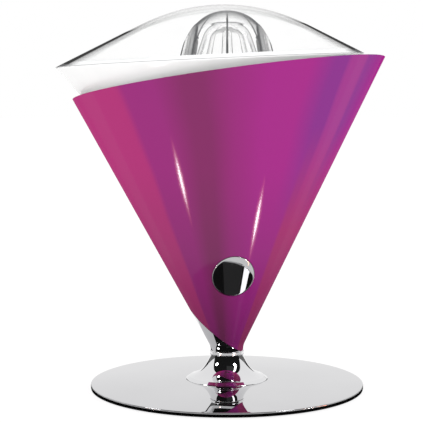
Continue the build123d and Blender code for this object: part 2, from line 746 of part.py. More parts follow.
with BuildPart() as deck_screws:
    with BuildSketch(Plane.XY.offset(deck_top)):
        with Locations((lean_shift(deck_bottom), 0)):
            with PolarLocations(deck_boss_circle, deck_screw_count, start_angle=deck_screw_start):
                Circle(deck_screw_head_radius)
    extrude(amount=deck_screw_head_height)
    with BuildSketch(Plane.XY.offset(deck_top)):
        with Locations((lean_shift(deck_bottom), 0)):
            with PolarLocations(deck_boss_circle, deck_screw_count, start_angle=deck_screw_start):
                Circle(deck_screw_radius)
    extrude(amount=-(deck_thickness + deck_screw_length - end_float))
deck_screws.part.label = "deck_screws"
export_step(deck_screws.part, "parts/deck_screws.step")

# Output spindle: round in its bush, with a shoulder and a hexagon for the reamer's hub.
with BuildPart() as drive_spindle:
    rod(spindle_bottom, spindle_radius, shoulder_top - spindle_bottom)
    rod(shoulder_top - spindle_shoulder_height, spindle_shoulder_radius, spindle_shoulder_height)
    with BuildSketch(Plane.XY.offset(shoulder_top)):
        RegularPolygon(spindle_hex_flats / 2, 6, major_radius=False)
    extrude(amount=spindle_hex_length)
drive_spindle.part.label = "drive_spindle"
export_step(drive_spindle.part, "parts/drive_spindle.step")

seal_bottom = chimney_top - seal_height
with BuildPart() as spindle_bush:
    rod(chimney_bottom, spindle_bush_radius, seal_bottom - chimney_bottom)
    rod(chimney_bottom, spindle_radius + run_gap, seal_bottom - chimney_bottom, mode=Mode.SUBTRACT)
spindle_bush.part.label = "spindle_bush"
export_step(spindle_bush.part, "parts/spindle_bush.step")

with BuildPart() as shaft_seal:
    rod(seal_bottom, spindle_bush_radius, seal_height)
    rod(seal_bottom, spindle_radius + seal_lip_gap, seal_height, mode=Mode.SUBTRACT)
shaft_seal.part.label = "shaft_seal"
export_step(shaft_seal.part, "parts/shaft_seal.step")

# Juice container: a tilted bowl on a level floor, with a foot ring that stands on the deck.
with BuildPart() as bowl_cavity:
    revolve(bowl_profile(bowl_wall), axis=bowl_axis)
    split(bisect_by=Plane.XY.offset(container_floor_top), keep=Keep.TOP)

with BuildPart() as juice_container:
    revolve(bowl_profile(0), axis=bowl_axis)
    split(bisect_by=Plane.XY.offset(container_bottom), keep=Keep.TOP)
    add(bowl_cavity.part, mode=Mode.SUBTRACT)
    with BuildSketch(Plane.XY.offset(deck_top)):
        Circle(container_foot_radius)
        Circle(container_foot_radius - container_foot_width, mode=Mode.SUBTRACT)
    extrude(amount=container_foot_height)
    rod(container_bottom, tube_radius + fit_gap, container_floor, mode=Mode.SUBTRACT)
juice_container.part.label = "juice_container"
export_step(juice_container.part, "parts/juice_container.step")

# Tube bonded into the container's floor: it clears the chimney and its ledge carries the strainer.
with BuildPart() as container_tube:
    rod(container_bottom, tube_radius, strainer_level - container_bottom)
    rod(strainer_level, tube_neck_radius, tube_neck_height)
    rod(container_bottom, tube_bore_radius, strainer_level + tube_neck_height - container_bottom,
        mode=Mode.SUBTRACT)
container_tube.part.label = "container_tube"
export_step(container_tube.part, "parts/container_tube.step")

# Strainer: a slotted steel dish that drops over the tube and rests on its ledge.
strainer_wall_radius = bowl_radius(bowl_rim_height - strainer_level, bowl_wall)
strainer_radius = strainer_wall_radius + bowl_offset - strainer_edge_gap
slot_circle_radius = strainer_radius - slot_rim_margin - slot_length / 2
with BuildPart() as strainer:
    rod(strainer_level, strainer_radius, strainer_wall)
    with BuildSketch(Plane.XY.offset(strainer_level)):
        Circle(strainer_radius)
        Circle(strainer_radius - strainer_wall, mode=Mode.SUBTRACT)
    extrude(amount=strainer_rim_height)
    rod(strainer_level, tube_neck_radius + strainer_hole_gap, strainer_wall, mode=Mode.SUBTRACT)
    with BuildSketch(Plane.XY.offset(strainer_level)):
        with PolarLocations(slot_circle_radius, slot_count):
            SlotOverall(slot_length, slot_width)
    extrude(amount=strainer_wall, mode=Mode.SUBTRACT)
strainer.part.label = "strainer"
export_step(strainer.part, "parts/strainer.step")

# Reamer: a clear hollow dome with scooped flutes between sharp ribs. A slim stem under its crown
# widens into the hub, which has a hexagon socket.
flute_plane = Plane(
    (flute_floor_radius + flute_radius, 0, reamer_base),
    x_dir=(0, 1, 0),
    z_dir=(-math.sin(math.radians(flute_tilt)), 0, math.cos(math.radians(flute_tilt))),
)
with BuildPart() as flute:
    with BuildSketch(flute_plane):
        Circle(flute_radius)
    extrude(amount=2 * reamer_height, both=True)

bore_top = reamer_top - reamer_crown_wall
hub_top = shoulder_top + spindle_hex_length + hub_cap
with BuildPart() as reamer:
    base_edge = (reamer_radius, reamer_base)
    flank_handle = (reamer_radius - reamer_flank_inset, reamer_base + reamer_flank_rise)
    with BuildSketch(Plane.XZ):
        with BuildLine():
            Bezier(base_edge, flank_handle, (reamer_crown_radius, reamer_top), (0, reamer_top))
            Polyline((0, reamer_top), (0, reamer_base), base_edge)
        make_face()
    revolve(axis=Axis.Z)
    with PolarLocations(0, reamer_rib_count, start_angle=reamer_rib_turn + 180 / reamer_rib_count):
        add(flute.part, mode=Mode.SUBTRACT)
    with BuildSketch(Plane.XZ):
        with BuildLine():
            Polyline((hub_stem_radius, bore_top), (hub_radius, hub_top), (hub_radius, reamer_base),
                     (reamer_bore_radius, reamer_base), (reamer_bore_top_radius, bore_top), close=True)
        make_face()
    revolve(axis=Axis.Z, mode=Mode.SUBTRACT)
    rod(reamer_base, hub_radius, shoulder_top - reamer_base, mode=Mode.SUBTRACT)
    with BuildSketch(Plane.XY.offset(shoulder_top)):
        RegularPolygon(spindle_hex_flats / 2 + hub_socket_gap, 6, major_radius=False)
    extrude(amount=spindle_hex_length + end_float, mode=Mode.SUBTRACT)
reamer.part.label = "reamer"
export_step(reamer.part, "parts/reamer.step")

# Clear lid: a thin dome cut off along the container's rim, with a locating skirt inside it.
skirt_outer = bowl_rim_radius - lid_skirt_inset
with BuildPart() as lid:
    revolve(lid_profile(lid_top), axis=lid_axis)
    revolve(lid_profile(lid_top - lid_wall), axis=lid_axis, mode=Mode.SUBTRACT)
    split(bisect_by=bowl_rim_plane, keep=Keep.TOP)
    with BuildSketch(bowl_plane):
        with BuildLine():
            Polyline((skirt_outer, -lid_skirt_depth), (skirt_outer, lid_skirt_root),
                     (skirt_outer - lid_skirt_wall, lid_skirt_root),
                     (skirt_outer - lid_skirt_wall, -lid_skirt_depth), close=True)
        make_face()
    revolve(axis=bowl_axis)
lid.part.label = "lid"
export_step(lid.part, "parts/lid.step")
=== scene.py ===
import math
import bmesh
import bpy
import numpy as np
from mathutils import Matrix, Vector


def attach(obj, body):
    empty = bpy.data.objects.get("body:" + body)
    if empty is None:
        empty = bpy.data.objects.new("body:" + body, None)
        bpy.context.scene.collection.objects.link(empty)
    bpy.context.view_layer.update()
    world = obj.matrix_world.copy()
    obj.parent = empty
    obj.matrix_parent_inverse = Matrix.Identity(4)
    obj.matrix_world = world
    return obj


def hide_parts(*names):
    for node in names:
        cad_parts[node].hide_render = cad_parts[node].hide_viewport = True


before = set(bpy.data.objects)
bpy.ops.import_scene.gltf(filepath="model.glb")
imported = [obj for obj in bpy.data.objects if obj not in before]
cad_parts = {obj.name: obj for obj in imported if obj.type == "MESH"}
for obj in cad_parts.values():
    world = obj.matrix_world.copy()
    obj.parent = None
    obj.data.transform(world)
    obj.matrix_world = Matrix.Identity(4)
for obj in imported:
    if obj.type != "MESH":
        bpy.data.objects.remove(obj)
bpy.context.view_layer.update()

# Base plate: a heavy steel disc with a shallow dome, turned on a lathe and mirror polished.
# Its edge is broken by a fine radius; recesses underneath take the rubber pad and the nut.
mm = 0.001
base_radius, base_bottom, base_edge_top = 108.0, 1.0, 4.6
dome_radius, dome_rise, dome_margin = 1824.1, 3.2, 1.2
neck_seat_radius, neck_seat = 33.1, 7.5
pad_recess_radius, pad_recess_top = 99.55, 2.0
nut_recess_radius, nut_recess_top, rod_hole = 9.8, 5.3, 5.05
edge_round, foot_round, recess_round, hole_round = 0.6, 0.5, 0.2, 0.1


def rounded(corners, radii, steps=6, support=1.3):
    """Polyline with each corner replaced by a parabola that is tangent to both its sides, and a
    support point just outside each end of it, so that shading stays flat along the sides."""
    corners = np.asarray(corners, float)
    before = np.roll(corners, 1, axis=0) - corners
    after = np.roll(corners, -1, axis=0) - corners
    before = (before / np.linalg.norm(before, axis=1)[:, None])[:, None]
    after = (after / np.linalg.norm(after, axis=1)[:, None])[:, None]
    corners = corners[:, None]
    share = np.linspace(0, 1, steps)[None, :, None]
    reach = np.asarray(radii, float)[:, None, None]
    bend = corners + reach * ((1 - share) ** 2 * before + share**2 * after)
    lead = corners + support * reach * before
    tail = corners + support * reach * after
    return np.concatenate([lead, bend, tail], axis=1).reshape(-1, 2)


def full_turn(count):
    """Angles at even steps round a full turn."""
    return np.linspace(0, 2 * math.pi, count, endpoint=False)


def turned(profile, count=192):
    """Grid of points from turning a profile of radius and height about the upright axis: the point
    at angle a is (radius * cos a, radius * sin a, height)."""
    angle = full_turn(count)[:, None]
    radius, height = np.asarray(profile, float).T
    return np.stack([radius * np.cos(angle), radius * np.sin(angle), height + 0 * angle], axis=-1)


def skin(name, grids, bend=40, merge_distance=2e-6):
    """Mesh piece from grids of points in millimetres. Each grid is (points, closed round, closed
    along, cells left open); neighbours are joined by four-sided faces, and points that fall
    together, as at poles and seams, are merged. Edges that turn more than the bend stay crisp."""
    vertices, faces, start = [], [], 0
    for points, closed_round, closed_along, *open_cells in grids:
        index = np.arange(points.shape[0] * points.shape[1]).reshape(points.shape[:2]) + start
        start += index.size
        vertices.append(points.reshape(-1, 3))
        index = np.concatenate([index, index[:1]]) if closed_round else index
        index = np.concatenate([index, index[:, :1]], axis=1) if closed_along else index
        cells = np.stack([index[:-1, :-1], index[1:, :-1], index[1:, 1:], index[:-1, 1:]], axis=-1)
        faces.append(cells[~open_cells[0]] if open_cells else cells.reshape(-1, 4))
    mesh = bpy.data.meshes.new(name)
    mesh.from_pydata((np.concatenate(vertices) * mm).tolist(), [], np.concatenate(faces).tolist())
    work = bmesh.new()
    work.from_mesh(mesh)
    bmesh.ops.remove_doubles(work, verts=work.verts, dist=merge_distance)
    bmesh.ops.recalc_face_normals(work, faces=work.faces)
    work.to_mesh(mesh)
    work.free()
    mesh.shade_smooth()
    mesh.set_sharp_from_angle(angle=math.radians(bend))
    piece = bpy.data.objects.new(name, mesh)
    bpy.context.scene.collection.objects.link(piece)
    return piece


def finish(name):
    """Node material with only its shader so far: (material, shader, Object coordinates)."""
    material = bpy.data.materials.new(name)
    material.use_nodes = True
    nodes = material.node_tree.nodes
    return material, nodes["Principled BSDF"], nodes.new("ShaderNodeTexCoord").outputs["Object"]


def feed(node, name, value):
    """The node's input of this name takes a plain value, or follows another node's output."""
    if isinstance(value, bpy.types.NodeSocket):
        node.id_data.links.new(value, node.inputs[name])
    else:
        node.inputs[name].default_value = value


def cloudy(place, scale, detail=4.0, stretch=None):
    """Value from 0 to 1 that drifts like clouds over the piece; stretch is one scale per axis."""
    nodes = place.id_data.nodes
    if stretch:
        mapping = nodes.new("ShaderNodeMapping")
        feed(mapping, "Scale", stretch)
        feed(mapping, "Vector", place)
        place = mapping.outputs["Vector"]
    noise = nodes.new("ShaderNodeTexNoise")
    feed(noise, "Scale", scale)
    feed(noise, "Detail", detail)
    feed(noise, "Vector", place)
    return noise.outputs["Fac"]


def span(value, low, high, start=0.3, end=0.7):
    """Value carried from the range between start and end over to the range from low to high."""
    carry = value.id_data.nodes.new("ShaderNodeMapRange")
    feed(carry, "From Min", start)
    feed(carry, "From Max", end)
    feed(carry, "To Min", low)
    feed(carry, "To Max", high)
    feed(carry, "Value", value)
    return carry.outputs["Result"]


def shades(value, stops):
    """Colour read off a ramp of (place, colour) stops."""
    ramp = value.id_data.nodes.new("ShaderNodeValToRGB")
    marks = ramp.color_ramp.elements
    for mark, (spot, colour) in zip((marks[0], marks[1]), (stops[0], stops[-1])):
        mark.position = spot
        mark.color = (*colour, 1)
    for spot, colour in stops[1:-1]:
        marks.new(spot).color = (*colour, 1)
    feed(ramp, "Fac", value)
    return ramp.outputs["Color"]


def drifting(value, dark, light):
    """Colour that drifts between two tones with a cloudy value."""
    return shades(value, [(0.3, dark), (0.7, light)])


def chrome(name, tones, haze):
    """Mirror finish: metal whose tone and haze drift a little, as wiped polish leaves them."""
    material, shader, place = finish(name)
    feed(shader, "Metallic", 1.0)
    feed(shader, "Base Color", drifting(cloudy(place, scale=9.0), *tones))
    wipe = cloudy(place, scale=40.0, detail=6.0, stretch=(1.0, 0.25, 1.0))
    feed(shader, "Roughness", span(wipe, *haze))
    return material


dome_centre = base_edge_top + dome_rise - dome_radius
dome_run = np.linspace(neck_seat_radius, base_radius - dome_margin, 40)
dome = np.stack([dome_run, dome_centre + np.sqrt(dome_radius**2 - dome_run**2)], axis=1)
plate_edge = rounded(
    [(base_radius, base_edge_top), (base_radius, base_bottom), (pad_recess_radius, base_bottom),
     (pad_recess_radius, pad_recess_top), (nut_recess_radius, pad_recess_top),
     (nut_recess_radius, nut_recess_top), (rod_hole, nut_recess_top), (rod_hole, neck_seat)],
    [edge_round, foot_round] + 6 * [recess_round])
base_plate = skin("base_plate_polished", [(turned(np.concatenate([dome, plate_edge])), True, True)])
mirror_haze = (0.012, 0.03)
base_tones = (0.55, 0.548, 0.56), (0.6, 0.598, 0.61)
base_plate.data.materials.append(chrome("base_mirror", base_tones, mirror_haze))
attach(base_plate, "housing")
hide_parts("base_plate")

# Rubber pad: a disc of matt black rubber, glued into the recess so that the base doesn't slide.
# Its grain is the fine pitting that a moulding plate leaves. Cord gland and shaft seal are
# moulded from the same rubber.
rubber, shader, place = finish("black_rubber_moulded")
grain = cloudy(place, scale=900.0, detail=3.0)
feed(shader, "Base Color", drifting(grain, (0.012, 0.012, 0.012), (0.03, 0.03, 0.03)))
feed(shader, "Roughness", span(grain, 0.6, 0.85))
pitting = rubber.node_tree.nodes.new("ShaderNodeBump")
feed(pitting, "Strength", 0.15)
feed(pitting, "Distance", 0.0002)
feed(pitting, "Height", grain)
feed(shader, "Normal", pitting.outputs["Normal"])


def dress(material, *names):
    """The solids of these names take the material in place of the one they came with."""
    for name in names:
        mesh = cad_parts[name].data
        mesh.materials.clear()
        mesh.materials.append(material)


dress(rubber, "foot_pad", "cord_gland", "shaft_seal")

# Neck: a trumpet turned from solid bar and chromed. Its thin foot lies flat on the base, and the
# rod through its middle clamps it between base and collar.
collar_bottom, neck_foot_radius = 27.1, 32.6
foot_edge = np.array((neck_foot_radius, neck_seat + 1.6))
flare_handle = np.array((22.0, neck_seat + 2.9))
stem_handle = np.array((15.3, collar_bottom - 9.6))
stem_top = np.array((13.2, collar_bottom))
foot_brim_radius, foot_brim, brim_round = 32.4, 0.35, 0.15
flare_start, flare_round = 30.0, 0.3


def bezier(start, first, second, end, count):
    """Points on the cubic with these four control points, at even steps of its parameter."""
    share = np.linspace(0, 1, count)[:, None]
    rest = 1 - share
    return rest**3 * start + 3 * rest**2 * share * first + 3 * rest * share**2 * second + share**3 * end


neck_flare = bezier(foot_edge, flare_handle, stem_handle, stem_top, count=80)
neck_flare = neck_flare[neck_flare[:, 0] < flare_start]
neck_foot = rounded(
    [(rod_hole, collar_bottom), (rod_hole, neck_seat), (neck_foot_radius, neck_seat),
     (foot_brim_radius, neck_seat + foot_brim), neck_flare[0]],
    3 * [hole_round] + [brim_round, flare_round])
neck_profile = np.concatenate([neck_foot[:-1], neck_flare[2:]])
neck = skin("neck_trumpet", [(turned(neck_profile, count=160), True, True)])
bright_tones = (0.7, 0.7, 0.71), (0.76, 0.76, 0.77)
neck.data.materials.append(chrome("neck_chrome", bright_tones, mirror_haze))
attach(neck, "housing")
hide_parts("pedestal_neck")

# Collar: a bright ring with rounded edges between the neck and the funnel, brushed a little
# duller than its neighbours, so that it shows as a pale line.
waist_height, collar_radius, collar_round = 30.3, 13.6, 0.64
collar_profile = rounded(
    [(rod_hole, collar_bottom), (collar_radius, collar_bottom), (collar_radius, waist_height),
     (rod_hole, waist_height)],
    [hole_round, collar_round, collar_round, hole_round])
collar = skin("collar_ring", [(turned(collar_profile, count=128), True, True)])
satin_tones, satin_haze = ((0.8, 0.8, 0.81), (0.86, 0.86, 0.87)), (0.14, 0.2)
collar.data.materials.append(chrome("collar_satin", satin_tones, satin_haze))
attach(collar, "housing")
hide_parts("waist_collar")

# Funnel: the chromed body that carries deck, motor and switch. It is full size below the slanted
# lower edge of the cover, and a hair smaller above it, where the cover slips over it.
waist_radius, flank_start, rim_radius, rim_height = 12.8, 11.3, 121.3, 244.2
blend_radius, cover_wall, body_inset, cavity_inset = 15.0, 1.2, 1.5, 3.0
flank_slope = (rim_radius - flank_start) / (rim_height - waist_height)
flank_angle = math.atan(flank_slope)
lean = math.radians(1.56)
button_height, button_hole, gland_height, gland_hole = 94.994, 16.45, 72.0, 5.05
well_floor_height, body_below_rim, least_step = 46.0, 3.0, 0.03
halvings, ring_steps, ring_crowding = 44, 9, 1.5


def slope_plane(height, steep, uphill):
    """A plane as (point, normal): it meets the upright axis at a height and climbs one way."""
    steep, uphill = math.radians(steep), math.radians(uphill)
    level = -math.sin(steep) * np.array((math.cos(uphill), math.sin(uphill)))
    return np.array((0, 0, height)), np.array((*level, math.cos(steep)))


rim_plane = slope_plane(rim_height, 8.4, -30.2)
cover_edge = slope_plane(40.4, 39.7, 159.5)


def funnel_radius(along, inset):
    """Radius of the funnel at a distance along its leaning axis: a short cylinder at the waist, an
    arc that is tangent to it, and the straight flank, all moved inwards by the inset."""
    waist = waist_radius - inset
    start = flank_start - inset / math.cos(flank_angle)
    bend = blend_radius + inset
    knee = (waist - start) / flank_slope
    reach = bend * math.tan(flank_angle / 2)
    into = np.clip(along - knee + reach, 0, bend)
    arc = waist + bend - np.sqrt(np.maximum(bend**2 - into**2, 0))
    upper = np.where(along < knee + reach * math.cos(flank_angle), arc, start + along * flank_slope)
    return np.where(along < knee - reach, waist, upper)


def funnel_point(angle, along, inset):
    """Place on the funnel at an angle about its leaning axis and a distance along it."""
    radius = funnel_radius(along, inset)
    across, away = radius * np.cos(angle), radius * np.sin(angle)
    return np.stack([across * math.cos(lean) - along * math.sin(lean), away + 0 * along,
                     waist_height + across * math.sin(lean) + along * math.cos(lean)], axis=-1)


def funnel_cut(angle, plane, inset, offset=0.0, lowest=-1.0, highest=400.0):
    """Distance along the axis at which the funnel meets a plane, moved along its normal by the
    offset, for each angle: halved intervals between the lowest and the highest."""
    low, high = np.full(angle.shape, lowest), np.full(angle.shape, highest)
    for _ in range(halvings):
        middle = (low + high) / 2
        above = (funnel_point(angle, middle, inset) - plane[0]) @ plane[1] > offset
        low, high = np.where(above, low, middle), np.where(above, middle, high)
    return (low + high) / 2


def level_cut(angle, height, inset):
    """Distance along the axis at which the funnel meets a level height."""
    return funnel_cut(angle, (np.array((0, 0, height)), np.array((0, 0, 1.0))), inset)


def lip(first, corner, last, count=5):
    """Rounded edge from one row of points to another: the parabola that a corner row pulls."""
    share = np.linspace(0, 1, count)[None, :, None]
    ends = (1 - share) ** 2 * first[:, None] + share**2 * last[:, None]
    return ends + 2 * share * (1 - share) * corner[:, None]


def pierced_wall(low, high, inset, rows, holes):
    """Wall of the funnel between two edges, given as functions of the angle and the inset. Round
    each hole, given as (side, height, radius, half columns, half rows), a block of cells is left
    open and filled by rings that run from the block's edge to the hole. Gives (points, open cells,
    rings of each hole, edge of each hole)."""
    def place(column, row):
        """Place at a column and row of the wall, which needn't be whole numbers."""
        angle = 2 * math.pi * column / columns - math.pi / 2
        floor, top = low(angle, inset), high(angle, inset)
        return funnel_point(angle, floor + (top - floor) * row / rows, inset)

    column, row = np.meshgrid(np.arange(columns), np.arange(rows + 1), indexing="ij")
    open_cells, rings, edges = np.zeros((columns, rows), bool), [], []
    for side, height, radius, half_columns, half_rows in holes:
        along = (height - waist_height) * math.cos(lean)
        sideways = (height - waist_height) * math.sin(lean) / funnel_radius(np.array(along), inset)
        angle = np.array(side * (math.pi / 2 - sideways))
        hole_column = (angle + math.pi / 2) / (2 * math.pi) * columns
        floor, top = low(angle, inset), high(angle, inset)
        hole_row = (along - floor) / (top - floor) * rows
        middle_column, middle_row = round(float(hole_column)), round(float(hole_row))
        run, rise = np.arange(-half_columns, half_columns), np.arange(-half_rows, half_rows)
        run_end, rise_end = 0 * rise + half_columns, 0 * run + half_rows
        from_column = middle_column + np.concatenate([run, run_end, -run, -run_end]) - hole_column
        from_row = middle_row + np.concatenate([-rise_end, rise, rise_end, -rise]) - hole_row
        near, far = np.zeros(len(from_row)), np.ones(len(from_row))
        for _ in range(halvings):
            middle = (near + far) / 2
            spot = place(hole_column + middle * from_column, hole_row + middle * from_row)
            inside = spot[:, 0] ** 2 + (spot[:, 2] - height) ** 2 < radius**2
            near, far = np.where(inside, middle, near), np.where(inside, far, middle)
        outwards = np.linspace(0, 1, ring_steps) ** ring_crowding
        share = near[:, None] + (1 - near)[:, None] * outwards
        ring = place(hole_column + share * from_column[:, None], hole_row + share * from_row[:, None])
        open_cells[np.ix_((middle_column + run) % columns, middle_row + rise)] = True
        rings.append(ring)
        edges.append(ring[:, 0])
    return place(column, row), open_cells, rings, edges


def body_foot(angle, inset):
    """Lower end of the funnel, on the collar."""
    return level_cut(angle, waist_height, inset)


def body_step(angle, inset):
    """Slanted step at which the full size ends, a little above the collar at the least."""
    return np.maximum(funnel_cut(angle, cover_edge, inset), body_foot(angle, 0.0) + least_step)


def sleeve_foot(angle, inset):
    """Lower end of the smaller part, which stays above the step."""
    return np.maximum(funnel_cut(angle, cover_edge, inset), body_foot(angle, 0.0) + 2 * least_step)


def body_top(angle, inset):
    """Upper end of the funnel, some way below the plane of the cover's rim."""
    return funnel_cut(angle, rim_plane, inset, -body_below_rim)


def well_floor(angle, inset):
    """Level floor of the hollow inside."""
    return level_cut(angle, well_floor_height, inset)


columns, lower_rows, body_rows, body_lip_steps = 192, 28, 60, 5
front, back, button_block, gland_block = -1, 1, (17, 8), (7, 3)
body_holes = [(front, button_height, button_hole, *button_block),
              (back, gland_height, gland_hole, *gland_block)]
lower, *_ = pierced_wall(body_foot, body_step, 0.0, lower_rows, [])
sleeve, sleeve_open, sleeve_rings, sleeve_edges = pierced_wall(
    sleeve_foot, body_top, body_inset, body_rows, body_holes)
well, well_open, well_rings, well_edges = pierced_wall(
    well_floor, body_top, cavity_inset, body_rows, body_holes)
quarter_turn = np.roll(np.arange(columns), columns // 4)
bore = turned([(rod_hole, well_floor_height), (rod_hole, waist_height)], columns)[quarter_turn]
body_crest = (sleeve[:, -1] + well[:, -1]) / 2
body_lip = lip(sleeve[:, -1], body_crest, well[:, -1], body_lip_steps)[:, 1:-1]
body_loop = np.concatenate([lower, sleeve, body_lip, well[:, ::-1], bore], axis=1)
body_open = np.zeros(body_loop.shape[:2], bool)
sleeve_start = lower_rows + 1
well_start = sleeve_start + body_rows + body_lip_steps - 1
body_open[:, sleeve_start:sleeve_start + body_rows] = sleeve_open
body_open[:, well_start:well_start + body_rows] = well_open[:, ::-1]


def hole_grids(rings, outer_edges, inner_edges):
    """Grids that close a pierced body: the rings round its holes and the walls of the holes."""
    walls = [np.stack(pair, axis=1) for pair in zip(outer_edges, inner_edges)]
    return [(grid, True, False) for grid in rings + walls]


funnel = skin("funnel_chromed", [
    (body_loop, True, True, body_open),
    *hole_grids(sleeve_rings + well_rings, sleeve_edges, well_edges)])
funnel.data.materials.append(chrome("funnel_chrome", bright_tones, mirror_haze))
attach(funnel, "housing")
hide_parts("body_cone")

# Cover: a spun metal cone, sprayed with a pearlescent magenta and a thick clear lacquer, and primed
# white inside. Painted shade and painted reflections are mixed into the colour of its outside.
# It slips over the funnel from above; its slanted edges are turned to a fine radius.
cover_rows, cover_lip_steps, cover_foot_gap, cover_rim_gap, cover_crest = 84, 7, 0.2, 0.25, 0.5


def cover_foot(angle, inset):
    """Lower end of the cover, just above the funnel's step and the collar."""
    collar_level = level_cut(angle, waist_height + cover_foot_gap, inset)
    return np.maximum(funnel_cut(angle, cover_edge, inset, cover_foot_gap), collar_level)


def cover_top(angle, inset):
    """Upper end of the cover's wall, just below the rounded rim."""
    return funnel_cut(angle, rim_plane, inset, -cover_rim_gap)


button_block, gland_block = (17, 10), (7, 4)
cover_holes = [(front, button_height, button_hole, *button_block),
               (back, gland_height, gland_hole, *gland_block)]
outside, outside_open, outside_rings, outside_edges = pierced_wall(
    cover_foot, cover_top, 0.0, cover_rows, cover_holes)
inside, inside_open, inside_rings, inside_edges = pierced_wall(
    cover_foot, cover_top, cover_wall, cover_rows, cover_holes)
crest = (outside[:, -1] + inside[:, -1]) / 2 + cover_crest * rim_plane[1]
cover_lip = lip(outside[:, -1], crest, inside[:, -1], cover_lip_steps)[:, 1:-1]
cover_loop = np.concatenate([outside, cover_lip, inside[:, ::-1]], axis=1)
cover_open = np.zeros(cover_loop.shape[:2], bool)
inside_start = cover_rows + cover_lip_steps - 1
cover_open[:, :cover_rows] = outside_open
cover_open[:, inside_start:inside_start + cover_rows] = inside_open[:, ::-1]
cover = skin("cover_painted", [
    (cover_loop, True, True, cover_open),
    *hole_grids(outside_rings + inside_rings, outside_edges, inside_edges)])


def sum_of(kind, first, second):
    """One arithmetic step on a node's output and a second term."""
    step = first.id_data.nodes.new("ShaderNodeMath")
    step.operation = kind
    feed(step, 0, first)
    feed(step, 1, second)
    return step.outputs["Value"]


def mixed(kind, factor, first, second):
    """Two colours mixed by a factor."""
    mix = first.id_data.nodes.new("ShaderNodeMix")
    mix.data_type = "RGBA"
    mix.blend_type = kind
    feed(mix, "Factor", factor)
    feed(mix, "A", first)
    feed(mix, "B", second)
    return mix.outputs["Result"]


paint, shader, place = finish("pearl_magenta_lacquer_painted_shade")
parts = paint.node_tree.nodes.new("ShaderNodeSeparateXYZ")
feed(parts, "Vector", place)
height = parts.outputs["Z"]
bearing = sum_of("ARCTAN2", parts.outputs["X"], sum_of("MULTIPLY", parts.outputs["Y"], -1.0))
drift = span(cloudy(place, scale=7.0, detail=2.0), -0.03, 0.03)
share_round = span(sum_of("ADD", bearing, drift), 0.0, 1.0, -math.pi, math.pi)
# Colours of the ramps round the cone, partly the pearlescent hue and partly painted light: the plum
# just left of the front is painted shade, and the pink bands towards the sides are painted reflections
# of the bright room.
pink, violet, plum = (0.4, 0.026, 0.165), (0.3, 0.02, 0.18), (0.22, 0.021, 0.12)
magenta, blue_violet, rose = (0.36, 0.018, 0.23), (0.24, 0.026, 0.24), (0.33, 0.034, 0.24)
left_stops = [(0.0, plum), (0.2, magenta), (0.26, pink), (0.37, pink), (0.378, violet),
              (0.41, violet), (0.44, plum), (0.46, plum), (0.485, violet)]
upper_stops = [(0.52, magenta), (0.558, magenta), (0.588, blue_violet), (0.606, blue_violet),
               (0.611, rose), (0.636, rose), (0.642, blue_violet), (0.69, magenta)]
lower_stops = [(0.53, magenta), (0.588, magenta), (0.596, pink), (0.68, pink)]
back_stops = [(0.8, magenta), (1.0, plum)]
pearl_and_shade_upper = shades(share_round, left_stops + upper_stops + back_stops)
pearl_and_shade_lower = shades(share_round, left_stops + lower_stops + back_stops)
# Heights in metres over which the pearlescent ramps, the painted low shade and the lacquer change.
pearl_and_shade_blend, low_shade_blend, coat_blend = (0.13, 0.21), (0.04, 0.18), (0.08, 0.11)
pearl_and_painted_shade = mixed("MIX", span(height, 0.0, 1.0, *pearl_and_shade_blend), pearl_and_shade_lower, pearl_and_shade_upper)
# Painted shade: the colour is darkened towards the bottom of the cone.
low_shade_tint, unshaded_tint = (0.66, 1.25, 0.7), (1.0, 1.02, 1.0)
depth = shades(span(height, 0.0, 1.0, *low_shade_blend), [(0.0, low_shade_tint), (1.0, unshaded_tint)])
feed(shader, "Base Color", mixed("MULTIPLY", 1.0, pearl_and_painted_shade, depth))
ripple = cloudy(place, scale=60.0, detail=3.0)
feed(shader, "Roughness", span(ripple, 0.3, 0.36))
feed(shader, "Specular IOR Level", 0.0)
glance = paint.node_tree.nodes.new("ShaderNodeLayerWeight")
coat = span(glance.outputs["Facing"], 0.5, 0.05, 0.2, 0.75)
low_coat, thinnest_coat = span(height, 0.2, 1.0, *coat_blend), 0.05
coat = sum_of("MAXIMUM", sum_of("MULTIPLY", coat, low_coat), thinnest_coat)
feed(shader, "Coat Weight", coat)
feed(shader, "Coat Roughness", span(ripple, 0.04, 0.07))
cover.data.materials.append(paint)

primer, shader, place = finish("white_primer_inside")
mist = cloudy(place, scale=60.0)
feed(shader, "Base Color", drifting(mist, (0.9, 0.9, 0.89), (0.95, 0.95, 0.94)))
feed(shader, "Roughness", span(mist, 0.5, 0.65))
cover.data.materials.append(primer)


def faces_of(piece):
    """Middles in millimetres and normals of a piece's faces, one row each."""
    faces = piece.data.polygons
    middles, normals = np.empty(3 * len(faces)), np.empty(3 * len(faces))
    faces.foreach_get("center", middles)
    faces.foreach_get("normal", normals)
    return middles.reshape(-1, 3) / mm, normals.reshape(-1, 3)


least_inward = 0.3
middles, normals = faces_of(cover)
from_axis = np.hypot(middles[:, 0], middles[:, 1])
faces_in = np.sum(middles[:, :2] * normals[:, :2], axis=1) < -least_inward * from_axis
cover.data.polygons.foreach_set("material_index", faces_in.astype(np.int32))
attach(cover, "housing")
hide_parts("cover_shell")

# Push button: a chromed cap that fills the hole in the cover. Its face is ground to the cone, so
# that it lies flush; a pocket behind takes the spring.
button_radius, button_back, pocket_radius, pocket_depth = 16.05, -30.369, 9.0, 6.0
face_round, back_round, pocket_round, button_turns, button_rings = 0.35, 0.3, 0.2, 128, 26


